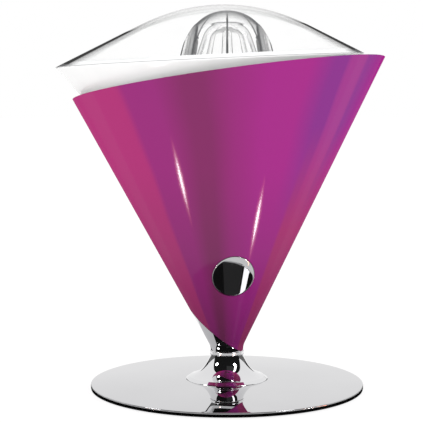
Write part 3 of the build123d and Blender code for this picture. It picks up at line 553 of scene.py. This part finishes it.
def button_face(distance, angle):
    """Place on the button's face: the cover's outline, looked at along the button's own axis."""
    across, up = distance * np.cos(angle), button_height + distance * np.sin(angle)
    along = (up - waist_height) * math.cos(lean) - across * math.sin(lean)
    sideways = across * math.cos(lean) + (up - waist_height) * math.sin(lean)
    return np.stack([across, -np.sqrt(funnel_radius(along, 0.0) ** 2 - sideways**2), up], axis=-1)


def button_flat(distance, depth, angle):
    """Place behind the face, at a distance from the button's axis and a depth on it."""
    across, up = distance * np.cos(angle), button_height + distance * np.sin(angle)
    return np.stack([across, depth + 0 * angle, up], axis=-1)


turn = full_turn(button_turns)
face_run = np.linspace(0, button_radius - face_round, button_rings)
face = button_face(face_run[None, :], turn[:, None])
face_corner = button_face(np.array(button_radius), turn)
face_edge = lip(face[:, -1], face_corner, face_corner + (0, face_round, 0), count=7)[:, 1:]
pocket_floor = button_back - pocket_depth
back_rows = [button_flat(radius, depth, turn) for radius, depth in [
    (button_radius, button_back - back_round), (button_radius - back_round, button_back),
    (pocket_radius + pocket_round, button_back), (pocket_radius, button_back - pocket_round),
    (pocket_radius, pocket_floor), (0.0, pocket_floor)]]
button_rows = np.concatenate([face, face_edge, np.stack(back_rows, axis=1)], axis=1)
button = skin("button_cap", [(button_rows, True, False)])
button.data.materials.append(chrome("button_chrome", bright_tones, (0.02, 0.04)))
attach(button, "button")
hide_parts("power_button")

# Works inside the funnel: clamp rod and nuts, motor, gears, deck and switch. Turned and punched
# steel, sintered brass bushes, copper winding, and moulded plastics, all left plain.


def plain(name, dark, light, rough, scale, metallic=0.0, stretch=None):
    """Finish whose tone and roughness drift with the same cloudy value."""
    material, shader, place = finish(name)
    wear = cloudy(place, scale, detail=5.0, stretch=stretch)
    feed(shader, "Metallic", metallic)
    feed(shader, "Base Color", drifting(wear, dark, light))
    feed(shader, "Roughness", span(wear, *rough))
    return material


steel = plain("plain_steel_turned", (0.42, 0.42, 0.43), (0.58, 0.58, 0.6), (0.25, 0.4), 120.0, 1.0,
              stretch=(1.0, 1.0, 6.0))
dress(steel, "base_nut", "tie_rod", "body_nut", "deck_screws", "gear_pillars", "motor_bolts",
      "motor_stator", "motor_rotor", "rotor_shaft", "idler_axle", "drive_spindle", "button_spring",
      "gear_plate", "lower_bracket")
brass = plain("bush_brass_sintered", (0.48, 0.33, 0.12), (0.62, 0.45, 0.18), (0.3, 0.45), 300.0, 1.0)
dress(brass, "lower_bush", "upper_bush", "spindle_bush")
copper = plain("winding_copper_wire", (0.5, 0.17, 0.07), (0.72, 0.3, 0.14), (0.25, 0.4), 240.0, 1.0,
               stretch=(1.0, 1.0, 8.0))
dress(copper, "stator_winding")
pale_plastic = plain("gear_plastic_moulded", (0.72, 0.69, 0.6), (0.8, 0.77, 0.69), (0.4, 0.55), 90.0)
dress(pale_plastic, "motor_pinion", "idler_gear", "spindle_gear")
grey_plastic = plain("grey_plastic_moulded", (0.3, 0.3, 0.31), (0.36, 0.36, 0.37), (0.4, 0.55), 90.0)
dress(grey_plastic, "motor_deck", "button_guide")
black_plastic = plain("black_plastic_moulded", (0.014, 0.014, 0.015), (0.025, 0.025, 0.027),
                      (0.35, 0.5), 90.0)
dress(black_plastic, "switch_body", "switch_plunger")

# Juice container: a white bowl, injection moulded with a gloss, whose rim is rounded and tilted.
# Its level floor stands on a foot ring on the deck, and a tube is bonded into it.
bowl_offset, bowl_rim_height, bowl_rim_radius, bowl_wall = -13.7, 258.8, 120.0, 3.2
bowl_tilt = math.radians(2.69)
shoulder_inset, shoulder_drop, base_inset, bowl_depth = 16.8, 20.5, 54.0, 80.456
floor_bottom, floor_top, deck_top, tube_hole = 186.344, 188.844, 181.344, 16.55
ring_outside, ring_inside, ring_round, rim_round = 43.0, 40.0, 0.4, 1.2
bowl_turns, bowl_rows, rim_steps = 192, 40, 7


def bowl_radius(drop, inset):
    """Radius of the bowl at a drop below its rim: the circle through rim, shoulder and base."""
    shoulder_square = shoulder_inset**2 + shoulder_drop**2
    base_square = base_inset**2 + bowl_depth**2
    cross = 2 * (shoulder_inset * bowl_depth - shoulder_drop * base_inset)
    across = (shoulder_square * bowl_depth - base_square * shoulder_drop) / cross
    down = (base_square * shoulder_inset - shoulder_square * base_inset) / cross
    reach = np.sqrt(across**2 + down**2 - (drop - down) ** 2)
    return bowl_rim_radius - inset - across + math.copysign(1.0, across) * reach


def bowl_point(angle, radius, height):
    """Place at an angle, radius and height about the bowl's tilted axis, from the rim's centre."""
    across, away = radius * np.cos(angle), radius * np.sin(angle)
    return np.stack([bowl_offset + across * math.cos(bowl_tilt) - height * math.sin(bowl_tilt),
                     away + 0 * height,
                     bowl_rim_height + across * math.sin(bowl_tilt) + height * math.cos(bowl_tilt)],
                    axis=-1)


def bowl_wall_rows(angle, inset, level):
    """Rows of the bowl's wall from just under the rim down to a level height, which is found by
    halved intervals."""
    shallow, low_shade_tint = np.zeros(len(angle)), np.full(len(angle), bowl_depth)
    for _ in range(halvings):
        middle = (shallow + low_shade_tint) / 2
        above = bowl_point(angle, bowl_radius(middle, inset), -middle)[:, 2] > level
        shallow, low_shade_tint = np.where(above, middle, shallow), np.where(above, low_shade_tint, middle)
    drop = rim_round + (shallow[:, None] - rim_round) * np.linspace(0, 1, bowl_rows)
    return bowl_point(angle[:, None], bowl_radius(drop, inset), -drop)


turn = full_turn(bowl_turns)
bowl_outside = bowl_wall_rows(turn, 0.0, floor_bottom)
bowl_inside = bowl_wall_rows(turn, bowl_wall, floor_top)
rim_outside = bowl_point(turn, bowl_rim_radius, 0 * turn)
rim_inside = bowl_point(turn, bowl_rim_radius - bowl_wall, 0 * turn)
rim_crest = (rim_outside + rim_inside) / 2
bowl_foot = turned([
    (ring_outside, floor_bottom), (ring_outside, deck_top + ring_round),
    (ring_outside - ring_round, deck_top), (ring_inside + ring_round, deck_top),
    (ring_inside, deck_top + ring_round), (ring_inside, floor_bottom),
    (tube_hole, floor_bottom), (tube_hole, floor_top)], count=bowl_turns)
rim_falling = lip(rim_crest, rim_outside, bowl_outside[:, 0], rim_steps)[:, :-1]
rim_rising = lip(bowl_inside[:, 0], rim_inside, rim_crest, rim_steps)[:, 1:-1]
bowl_loop = [rim_falling, bowl_outside, bowl_foot, bowl_inside[:, ::-1], rim_rising]
bowl = skin("juice_container_moulded", [(np.concatenate(bowl_loop, axis=1), True, True)])
white = plain("bowl_white_gloss", (0.8, 0.8, 0.795), (0.84, 0.84, 0.835), (0.12, 0.2), 30.0)
bowl.data.materials.append(white)
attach(bowl, "container")
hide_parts("juice_container")
dress(white, "container_tube")

# Strainer: a dish pressed from thin steel and brushed, with a ring of punched slots that hold the
# pips back. It sits on the container's tube and is lifted out for washing.
brushed = plain("strainer_steel_brushed", (0.6, 0.6, 0.61), (0.72, 0.72, 0.73), (0.22, 0.34), 150.0,
                1.0, stretch=(1.0, 8.0, 1.0))
dress(brushed, "strainer")

# Reamer: a clear moulded dome. Eight scooped flutes leave ribs between them; it is hollow, and a
# slim stem under the crown widens into the hub with its hexagon socket.
reamer_base, reamer_top, reamer_radius = 239.026, 298.226, 42.5
rib_turn, rib_pitch = math.radians(-96.6), math.pi / 4
flute_centre, flute_radius, flute_tilt = 65.5, 30.0, math.radians(11.1)
bore_top, bore_foot_radius, bore_top_radius, bore_reach = 286.226, 32.0, 15.0, 11.0
stem_radius, stem_bevel, stem_taper, stem_foot_radius, stem_foot = 1.1, (0.5, 0.6), 5.0, 2.5, 2.0
hub_radius, hub_bevel = 9.0, (0.3, 0.5)
hub_top, hub_bottom, socket_half_width, socket_depth = 258.026, 241.026, 5.15, 14.3
reamer_turns, reamer_rows, arch_steps, no_scoop = 256, 80, 9, 1000.0
turn = full_turn(reamer_turns) + rib_turn
crown, flank = np.array((28.0, reamer_top)), np.array((39.0, reamer_base + 27.0))
foot = np.array((reamer_radius, reamer_base))
body = bezier(np.array((0, reamer_top)), crown, flank, foot, reamer_rows)
# The scoop is the near root of a quadratic: a level line from the reamer's axis meets the leaning
# cylinder that cuts the flute. The dome's radius holds wherever the scoop lies outside it.
from_flute = ((turn - rib_turn) % rib_pitch - rib_pitch / 2)[:, None]
flute_axis = flute_centre - (body[:, 1] - reamer_base) * math.tan(flute_tilt)
squash = math.cos(flute_tilt) / flute_radius
square = (np.cos(from_flute) * squash) ** 2 + (np.sin(from_flute) / flute_radius) ** 2
half_line = np.cos(from_flute) * flute_axis * squash**2
under_root = half_line**2 - square * ((flute_axis * squash) ** 2 - 1)
near_root = (half_line - np.sqrt(np.maximum(under_root, 0))) / square
radius = np.minimum(body[:, 0], np.where(under_root > 0, near_root, no_scoop))
ribs = np.stack([radius * np.cos(turn)[:, None], radius * np.sin(turn)[:, None],
                 body[:, 1] + 0 * radius], axis=-1)
bore_corner = np.array((bore_top_radius, bore_top))
bore_slope = np.array((bore_foot_radius, reamer_base)) - bore_corner
bore_slope /= np.linalg.norm(bore_slope)
share = np.linspace(0, 1, arch_steps)[:, None]
bore_arch = bore_corner + bore_reach * ((1 - share) ** 2 * bore_slope + share**2 * (-1.0, 0.0))
socket_radius = socket_half_width / np.cos(turn % (math.pi / 3) - math.pi / 6)
socket_top = hub_bottom + socket_depth
hollow = [(bore_foot_radius, reamer_base), *bore_arch, (stem_radius + stem_bevel[0], bore_top),
          (stem_radius, bore_top - stem_bevel[1]), (stem_radius, hub_top + stem_taper),
          (stem_foot_radius, hub_top + stem_foot), (hub_radius - hub_bevel[0], hub_top),
          (hub_radius, hub_top - hub_bevel[1]), (hub_radius, hub_bottom),
          (socket_radius, hub_bottom), (socket_radius, socket_top), (0.0, socket_top)]
inner = np.stack([np.stack([across * np.cos(turn), across * np.sin(turn), level + 0 * turn], axis=-1)
                  for across, level in hollow], axis=1)
reamer = skin("reamer_clear_dome", [(np.concatenate([ribs, inner], axis=1), True, False)], bend=25)


def clear(name, bend, rough, edge, edge_shade_tone, slope, heights):
    """Clear moulded plastic. Light passes through with the given bend; where it is looked at along
    its surface it is painted grey, from clear to the edge shade tone over the given range of edge:
    painted shade for the dark refractions at its edges. Of the heights, measured square to a
    slope, the painted grey starts at the first, is full from the second to the third and gone at
    the last."""
    nothing, full = (0.0, 0.0, 0.0), (1.0, 1.0, 1.0)
    material, shader, place = finish(name)
    lift = material.node_tree.nodes.new("ShaderNodeVectorMath")
    lift.operation = "DOT_PRODUCT"
    feed(lift, 0, place)
    feed(lift, 1, (-math.sin(slope), 0.0, math.cos(slope)))
    first, last = heights[0] * mm, heights[-1] * mm
    grow, hold = [(level * mm - first) / (last - first) for level in heights[1:-1]]
    reach = shades(span(lift.outputs["Value"], 0.0, 1.0, first, last),
                   [(0.0, nothing), (grow, full), (hold, full), (1.0, nothing)])
    glance = material.node_tree.nodes.new("ShaderNodeLayerWeight")
    # Painted shade: grey where the surface is looked at along it, within the band of heights.
    grey = sum_of("MULTIPLY", span(glance.outputs["Facing"], 0.0, 1.0, *edge), reach)
    feed(shader, "IOR", bend)
    feed(shader, "Base Color", shades(grey, [(0.0, full), (1.0, edge_shade_tone)]))
    feed(shader, "Transmission Weight", span(grey, 1.0, 0.1, 0.0, 1.0))
    feed(shader, "Specular IOR Level", span(grey, 0.5, 0.0, 0.0, 1.0))
    feed(shader, "Roughness", span(cloudy(place, scale=25.0), *rough))
    return material


# Each of the reamer's plastics is painted grey at its edges as painted shade; the faces along the ribs
# are painted dark nearly all over, a painted shade line on each rib.
for name, bend, edge, edge_shade_tone, heights in [
        ("reamer_clear_plastic", 1.12, (0.3, 0.7), (0.02, 0.022, 0.026), (200.0, 240.0, 300.0, 330.0)),
        ("reamer_bore_plastic", 1.4, (0.4, 0.85), (0.1, 0.105, 0.11), (200.0, 240.0, 290.0, 320.0)),
        ("reamer_rib_painted_dark", 1.12, (-2.0, 0.3), (0.03, 0.032, 0.036), (200.0, 240.0, 300.0, 330.0))]:
    reamer.data.materials.append(clear(name, bend, (0.0, 0.02), edge, edge_shade_tone, 0.0, heights))
bore_slack, bore_top_slack, rib_half_turn, rib_start = 0.4, 0.1, 0.02, 3.0
middles, _ = faces_of(reamer)
from_axis = np.hypot(middles[:, 0], middles[:, 1])
up_bore = (middles[:, 2] - reamer_base) / (bore_top - reamer_base)
bore_radius = bore_foot_radius + up_bore * (bore_top_radius - bore_foot_radius)
in_bore = (from_axis < bore_radius + bore_slack) & (middles[:, 2] < bore_top + bore_top_slack)
# Faces along the ribs take the rib plastic, painted dark as painted shade.
from_rib = np.arctan2(middles[:, 1], middles[:, 0]) - rib_turn
from_rib = (from_rib + rib_pitch / 2) % rib_pitch - rib_pitch / 2
painted_dark_rib = (np.abs(from_rib) < rib_half_turn) & (from_axis > rib_start) & ~in_bore
reamer.data.polygons.foreach_set("material_index", in_bore + 2 * painted_dark_rib.astype(np.int32))
reamer.visible_shadow = False
reamer.visible_diffuse = False
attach(reamer, "reamer")
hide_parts("reamer")

# Lid: a thin clear dome, moulded in one with the skirt that locates it in the container. It is cut
# off along the container's tilted rim, on which it rests. The band along the rim is frosted, and
# its thin lower edge is painted grey: painted shade for the joint on the container's rim.
lid_offset, lid_top, lid_wall, lid_crown = -2.5, 302.026, 2.0, 30.0
lid_fall, lid_shoulder, lid_drop, lid_blend = 0.503, 68.839, 17.5, 16.9
skirt_radius, skirt_wall, skirt_depth, skirt_round, skirt_reach = 112.6, 1.7, 3.0, 0.3, 30.0
lid_edge_lift, lid_edge_share, lid_turns, crown_rows, flank_rows = 0.3, 0.15, 224, 48, 20


def lid_height(radius, top):
    """Height of the straight flank at a radius about the lid's axis."""
    return top - lid_drop - (radius - lid_shoulder) * lid_fall


def lid_edge(angle, top, lift):
    """Radius at which the flank meets the plane of the container's rim, raised by the lift."""
    plane_height = bowl_rim_height + (lid_offset - bowl_offset) * math.tan(bowl_tilt) + lift
    return (lid_height(0.0, top) - plane_height) / (lid_fall + math.tan(bowl_tilt) * np.cos(angle))


def lid_point(angle, radius, height):
    """Place at an angle, radius and height about the lid's upright axis."""
    return np.stack([lid_offset + radius * np.cos(angle), radius * np.sin(angle),
                     height + 0 * radius + 0 * angle], axis=-1)


def skirt_root(angle, radius, top):
    """Place where the skirt's wall meets the underside of the flank: halved intervals."""
    low, high = np.full(angle.shape, -skirt_depth), np.full(angle.shape, skirt_reach)
    for _ in range(halvings):
        middle = (low + high) / 2
        spot = bowl_point(angle, radius, middle)
        under = spot[:, 2] < lid_height(np.hypot(spot[:, 0] - lid_offset, spot[:, 1]), top)
        low, high = np.where(under, middle, low), np.where(under, high, middle)
    return bowl_point(angle, radius, low)


def lid_rows(angle, edge, top):
    """Rows from the crown to an edge radius: a cubic for the crown, then the straight flank."""
    blend = np.array((lid_shoulder - lid_blend, top - lid_drop + lid_blend * lid_fall))
    crown = bezier(np.array((0, top)), np.array((lid_crown, top)), blend,
                   np.array((lid_shoulder, top - lid_drop)), crown_rows)
    crown = np.broadcast_to(crown, (len(angle), crown_rows, 2))
    flank = lid_shoulder + (edge[:, None] - lid_shoulder) * np.linspace(0, 1, flank_rows)[1:]
    radius = np.concatenate([crown[..., 0], flank], axis=1)
    height = np.concatenate([crown[..., 1], lid_height(flank, top)], axis=1)
    return lid_point(angle[:, None], radius, height)


turn = full_turn(lid_turns)
under = lid_top - lid_wall
outer_root = skirt_root(turn, skirt_radius, under)
inner_root = skirt_root(turn, skirt_radius - skirt_wall, under)
lid_turn = np.arctan2(outer_root[:, 1], outer_root[:, 0] - lid_offset)
corner_above, corner_below = lid_edge(lid_turn, lid_top, 0.0), lid_edge(lid_turn, under, 0.0)
outer_rows = lid_rows(lid_turn, lid_edge(lid_turn, lid_top, lid_edge_lift), lid_top)
inner_radius = np.hypot(inner_root[:, 0] - lid_offset, inner_root[:, 1])
inner_rows = lid_rows(lid_turn, inner_radius, under)
rim_above = lid_point(lid_turn, corner_above, lid_height(corner_above, lid_top))
rim_below = lid_point(lid_turn, corner_below, lid_height(corner_below, under))
rim_flat = rim_above + lid_edge_share * (rim_below - rim_above)
skirt_inside = skirt_radius - skirt_wall
skirt_end = [bowl_point(turn, radius, height + 0 * turn) for radius, height in [
    (skirt_radius, skirt_round - skirt_depth), (skirt_radius - skirt_round, -skirt_depth),
    (skirt_inside + skirt_round, -skirt_depth), (skirt_inside, skirt_round - skirt_depth)]]
lid_loop = [outer_rows, lip(outer_rows[:, -1], rim_above, rim_flat)[:, 1:], rim_below[:, None],
            outer_root[:, None], np.stack(skirt_end, axis=1), inner_rows[:, ::-1]]
lid = skin("lid_clear_dome", [(np.concatenate(lid_loop, axis=1), True, False)])
# The lid's plastic is painted black at its edges between the given heights: painted shade for its dark
# refracted edges.
lid_heights = (259.2, 259.8, 284.0, 304.0)
lid.data.materials.append(clear("lid_clear_plastic", 1.18, (0.0, 0.01), (0.8, 0.88), (0.0, 0.0, 0.0),
                                bowl_tilt, lid_heights))
frosted, shader, place = finish("lid_rim_frosted")
glance = frosted.node_tree.nodes.new("ShaderNodeLayerWeight")
# The frosted band is white, and painted nearly black where it is looked at along its surface: painted
# shade at its edges.
rim_white_and_painted_shade = [(0.8, (0.9, 0.91, 0.91)), (0.88, (0.02, 0.02, 0.025))]
feed(shader, "Base Color", shades(glance.outputs["Facing"], rim_white_and_painted_shade))
feed(shader, "Roughness", span(cloudy(place, scale=60.0), 0.5, 0.6))
lid.data.materials.append(frosted)
edge_shade_tones = (0.3, 0.3, 0.31), (0.36, 0.36, 0.37)
lid.data.materials.append(plain("lid_edge_shade", *edge_shade_tones, (0.5, 0.6), 60.0))
rim_level = bowl_rim_height * math.cos(bowl_tilt) - bowl_offset * math.sin(bowl_tilt)
flank_band, skirt_band, edge_band, edge_past_skirt, flank_slack = 2.4, 4.5, 0.3, 2.0, 0.05
middles, normals = faces_of(lid)
above_rim = middles[:, 2] * math.cos(bowl_tilt) - middles[:, 0] * math.sin(bowl_tilt) - rim_level
off_flank = np.abs(np.abs(normals[:, 2]) - math.cos(math.atan(lid_fall))) > flank_slack
on_rim = (above_rim < flank_band) | ((above_rim < skirt_band) & off_flank)
past_skirt = np.hypot(middles[:, 0] - bowl_offset, middles[:, 1]) > skirt_radius + edge_past_skirt
# Painted shade: the thin outer edge over the rim is painted grey.
painted_shade_edge = (above_rim < edge_band) & past_skirt
lid.data.polygons.foreach_set("material_index", on_rim.astype(np.int32) + painted_shade_edge)
lid.visible_shadow = False
lid.visible_diffuse = False
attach(lid, "lid")
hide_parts("lid")

# Studio: a white table and a white background, lit by the white sky and soft lamps. Cards that only
# reflections see give the chrome its dark room, the plate its pale mat, and the lacquer its two
# streaks. A dark kerb round the base, also seen only in reflections, is a painted shadow on the
# table next to the base.
heading, pitch = math.radians(-5.956), math.radians(5.197)
ahead = np.array((-math.sin(heading), math.cos(heading), 0.0))
right = np.array((math.cos(heading), math.sin(heading), 0.0))
up = np.array((0.0, 0.0, 1.0))


def stand(thing, spot, direction):
    """Puts a camera or a lamp on the stage at a spot and points it along a direction."""
    thing.location = spot
    thing.rotation_euler = Vector(direction).to_track_quat("-Z", "Y").to_euler()
    bpy.context.scene.collection.objects.link(thing)


camera = bpy.data.objects.new("photo_camera", bpy.data.cameras.new("photo_camera"))
camera.data.sensor_width = 36.0
camera.data.lens = 117.97
camera.data.clip_end = 20.0
stand(camera, (-0.1251, -1.0811, 0.2395), math.cos(pitch) * ahead - math.sin(pitch) * up)
bpy.context.scene.camera = camera
bpy.context.scene.view_settings.view_transform = "Standard"

world = bpy.data.worlds.new("white_studio")
bpy.context.scene.world = world
world.use_nodes = True
feed(world.node_tree.nodes["Background"], "Color", (1, 1, 1, 1))
feed(world.node_tree.nodes["Background"], "Strength", 1.0)


def studio_card(name, grid, grey, glow, mirrored_only=True, tint=(1.0, 1.0, 1.0)):
    """Card of the studio from a grid of points in millimetres; most are seen in reflections only."""
    card = skin(name, [(grid, False, False)])
    material, shader, _ = finish(name)
    feed(shader, "Base Color", (grey, grey, grey, 1))
    feed(shader, "Roughness", 1.0)
    feed(shader, "Specular IOR Level", 0.0)
    feed(shader, "Emission Color", (*tint, 1))
    feed(shader, "Emission Strength", glow)
    card.data.materials.append(material)
    for ray in ("visible_camera", "visible_diffuse", "visible_transmission", "visible_shadow"):
        setattr(card, ray, not mirrored_only)


def toward(turn, rise):
    """Directions turned to the camera's right and raised, in degrees, from the middle of the base:
    right * cos(rise) * sin(turn) - ahead * cos(rise) * cos(turn) + up * sin(rise)."""
    turn, rise = np.radians(turn)[..., None], np.radians(rise)[..., None]
    return np.cos(rise) * (np.sin(turn) * right - np.cos(turn) * ahead) + np.sin(rise) * up


def on_table(turn, distance, height):
    """Places above the table at bearings and distances from the middle of the base."""
    turn, distance = np.meshgrid(turn, distance, indexing="ij")
    return distance[..., None] * toward(turn, 0.0 * turn) + height * up


table_run = np.linspace(-9000, 9000, 3)
table = np.stack(np.broadcast_arrays(table_run[:, None], table_run[None, :], 0.0), axis=-1)
studio_card("table", table, 0.25, 0.8, mirrored_only=False)
dark, patch_turns, patch_rises = 0.01, 37, 18
for name, distance, turns, rises, grey, glow in [
        ("dark_room", 2000, (-90, 90), (-3, 80), dark, 0.0),
        ("dim_wall", 1950, (-2, 48), (46, 74), 0.0, 0.04),
        ("strip_lamp", 1900, (52, 66), (40, 74), 0.0, 2.4),
        ("grey_wall_left", 2050, (-137, -90), (-3, 13), 0.0, 0.16),
        ("grey_wall_right", 2050, (90, 137), (-3, 13), 0.0, 0.16),
        ("side_flag_left", 2100, (-160, -138), (-3, 13), dark, 0.0),
        ("side_flag_right", 2100, (138, 160), (-3, 13), dark, 0.0)]:
    patch_turn, patch_rise = np.linspace(*turns, patch_turns), np.linspace(*rises, patch_rises)
    patch = toward(*np.meshgrid(patch_turn, patch_rise, indexing="ij"))
    studio_card(name, distance * patch, grey, glow)
mat_glow, mat_edge, mat_reach, mat_height = 0.72, 109.0, 1500, 0.4
mat_turn, mat_run = np.linspace(-110, 110, 45), np.linspace(mat_edge, mat_reach, 5)
studio_card("pale_mat", on_table(mat_turn, mat_run, mat_height), 0.0, mat_glow)
# Painted shadow: a dark kerb that reflections see round the foot of the base.
kerb_bottom, kerb_top = 0.3, 3.4
kerb = on_table(mat_turn, [mat_edge, mat_edge], 0.0) + [kerb_bottom * up, kerb_top * up]
studio_card("shade_kerb", kerb, dark, 0.0)
lip_height, lip_outside = 5.6, 108.4
lip_turn = np.linspace(-60, 45, 36)
lip_inside = np.interp(lip_turn, [-60, 8, 45], [106.2, 106.2, 108.2])
lip_reach = np.stack([lip_inside, np.full(lip_turn.shape, lip_outside)], axis=1)[..., None]
mat_lip = lip_reach * on_table(lip_turn, [1.0, 1.0], 0.0) + lip_height * up
studio_card("mat_lip", mat_lip, 0.0, mat_glow)
lamp_distance, lamp_half_width, lamp_half_height, lamp_glow, lamp_steps = 1100, 9.24, 4.2, 12.0, 33
around, reach = np.meshgrid(np.linspace(0, 2 * math.pi, lamp_steps), [0.0, 1.0], indexing="ij")
for name, turn, rise in [("lamp_left", -67.48, 33.86), ("lamp_right", 52.13, 36.93)]:
    disc_turn = turn + lamp_half_width * reach * np.cos(around)
    disc_rise = rise + lamp_half_height * reach * np.sin(around)
    studio_card(name, lamp_distance * toward(disc_turn, disc_rise), 0.0, lamp_glow)
# Each streak mirrors a stack of leaf-shaped cards on the table, from a white core to a red fringe:
# half width, length past the ends, height, tint and glow of each leaf.
leaf_layers = [(3.0, -4.0, 1.2, (1.0, 0.98, 0.96), 56.0), (5.0, 2.0, 1.1, (1.0, 0.93, 0.9), 32.0),
               (7.5, 8.0, 1.0, (1.0, 0.8, 0.73), 16.0), (10.5, 15.0, 0.9, (1.0, 0.6, 0.48), 8.0),
               (14.0, 26.0, 0.8, (1.0, 0.42, 0.3), 4.0)]
leaf_steps = 13
swell = np.cos(np.linspace(-math.pi / 2, math.pi / 2, leaf_steps))[:, None]
for name, turn, near, far in [("streak_left", -45.0, 177, 225), ("streak_right", 46.5, 139, 187)]:
    sideways = toward(np.array(turn + 90.0), np.array(0.0))
    for layer, (half_width, past, height, tint, glow) in enumerate(leaf_layers):
        leaf_run = np.linspace(near - past, far + past, leaf_steps)
        middle_line = on_table([turn], leaf_run, height)[0]
        leaf_side = half_width * swell * sideways
        leaf = np.stack([middle_line - leaf_side, middle_line + leaf_side], axis=1)
        studio_card(f"{name}_{layer}", leaf, 0.0, glow, tint=tint)
lamps = {}
for name, side, front, rise, aim_height, size, power in [
        ("soft_left", -1.2, 0.7, 0.9, 0.15, 0.9, 4.0), ("soft_right", 1.2, 0.7, 0.9, 0.15, 0.9, 4.0),
        ("bowl_fill", -0.2, 1.5, 0.45, 0.25, 0.5, 6.0)]:
    lamps[name] = bpy.data.objects.new(name, bpy.data.lights.new(name, "AREA"))
    lamps[name].data.size = size
    lamps[name].data.energy = power
    lamps[name].visible_glossy = False
    lamps[name].visible_transmission = False
    spot = side * right - front * ahead + rise * up
    stand(lamps[name], spot, aim_height * up - spot)
white_pieces = bpy.data.collections.new("white_pieces")
white_pieces.objects.link(bowl)
lamps["bowl_fill"].light_linking.receiver_collection = white_pieces
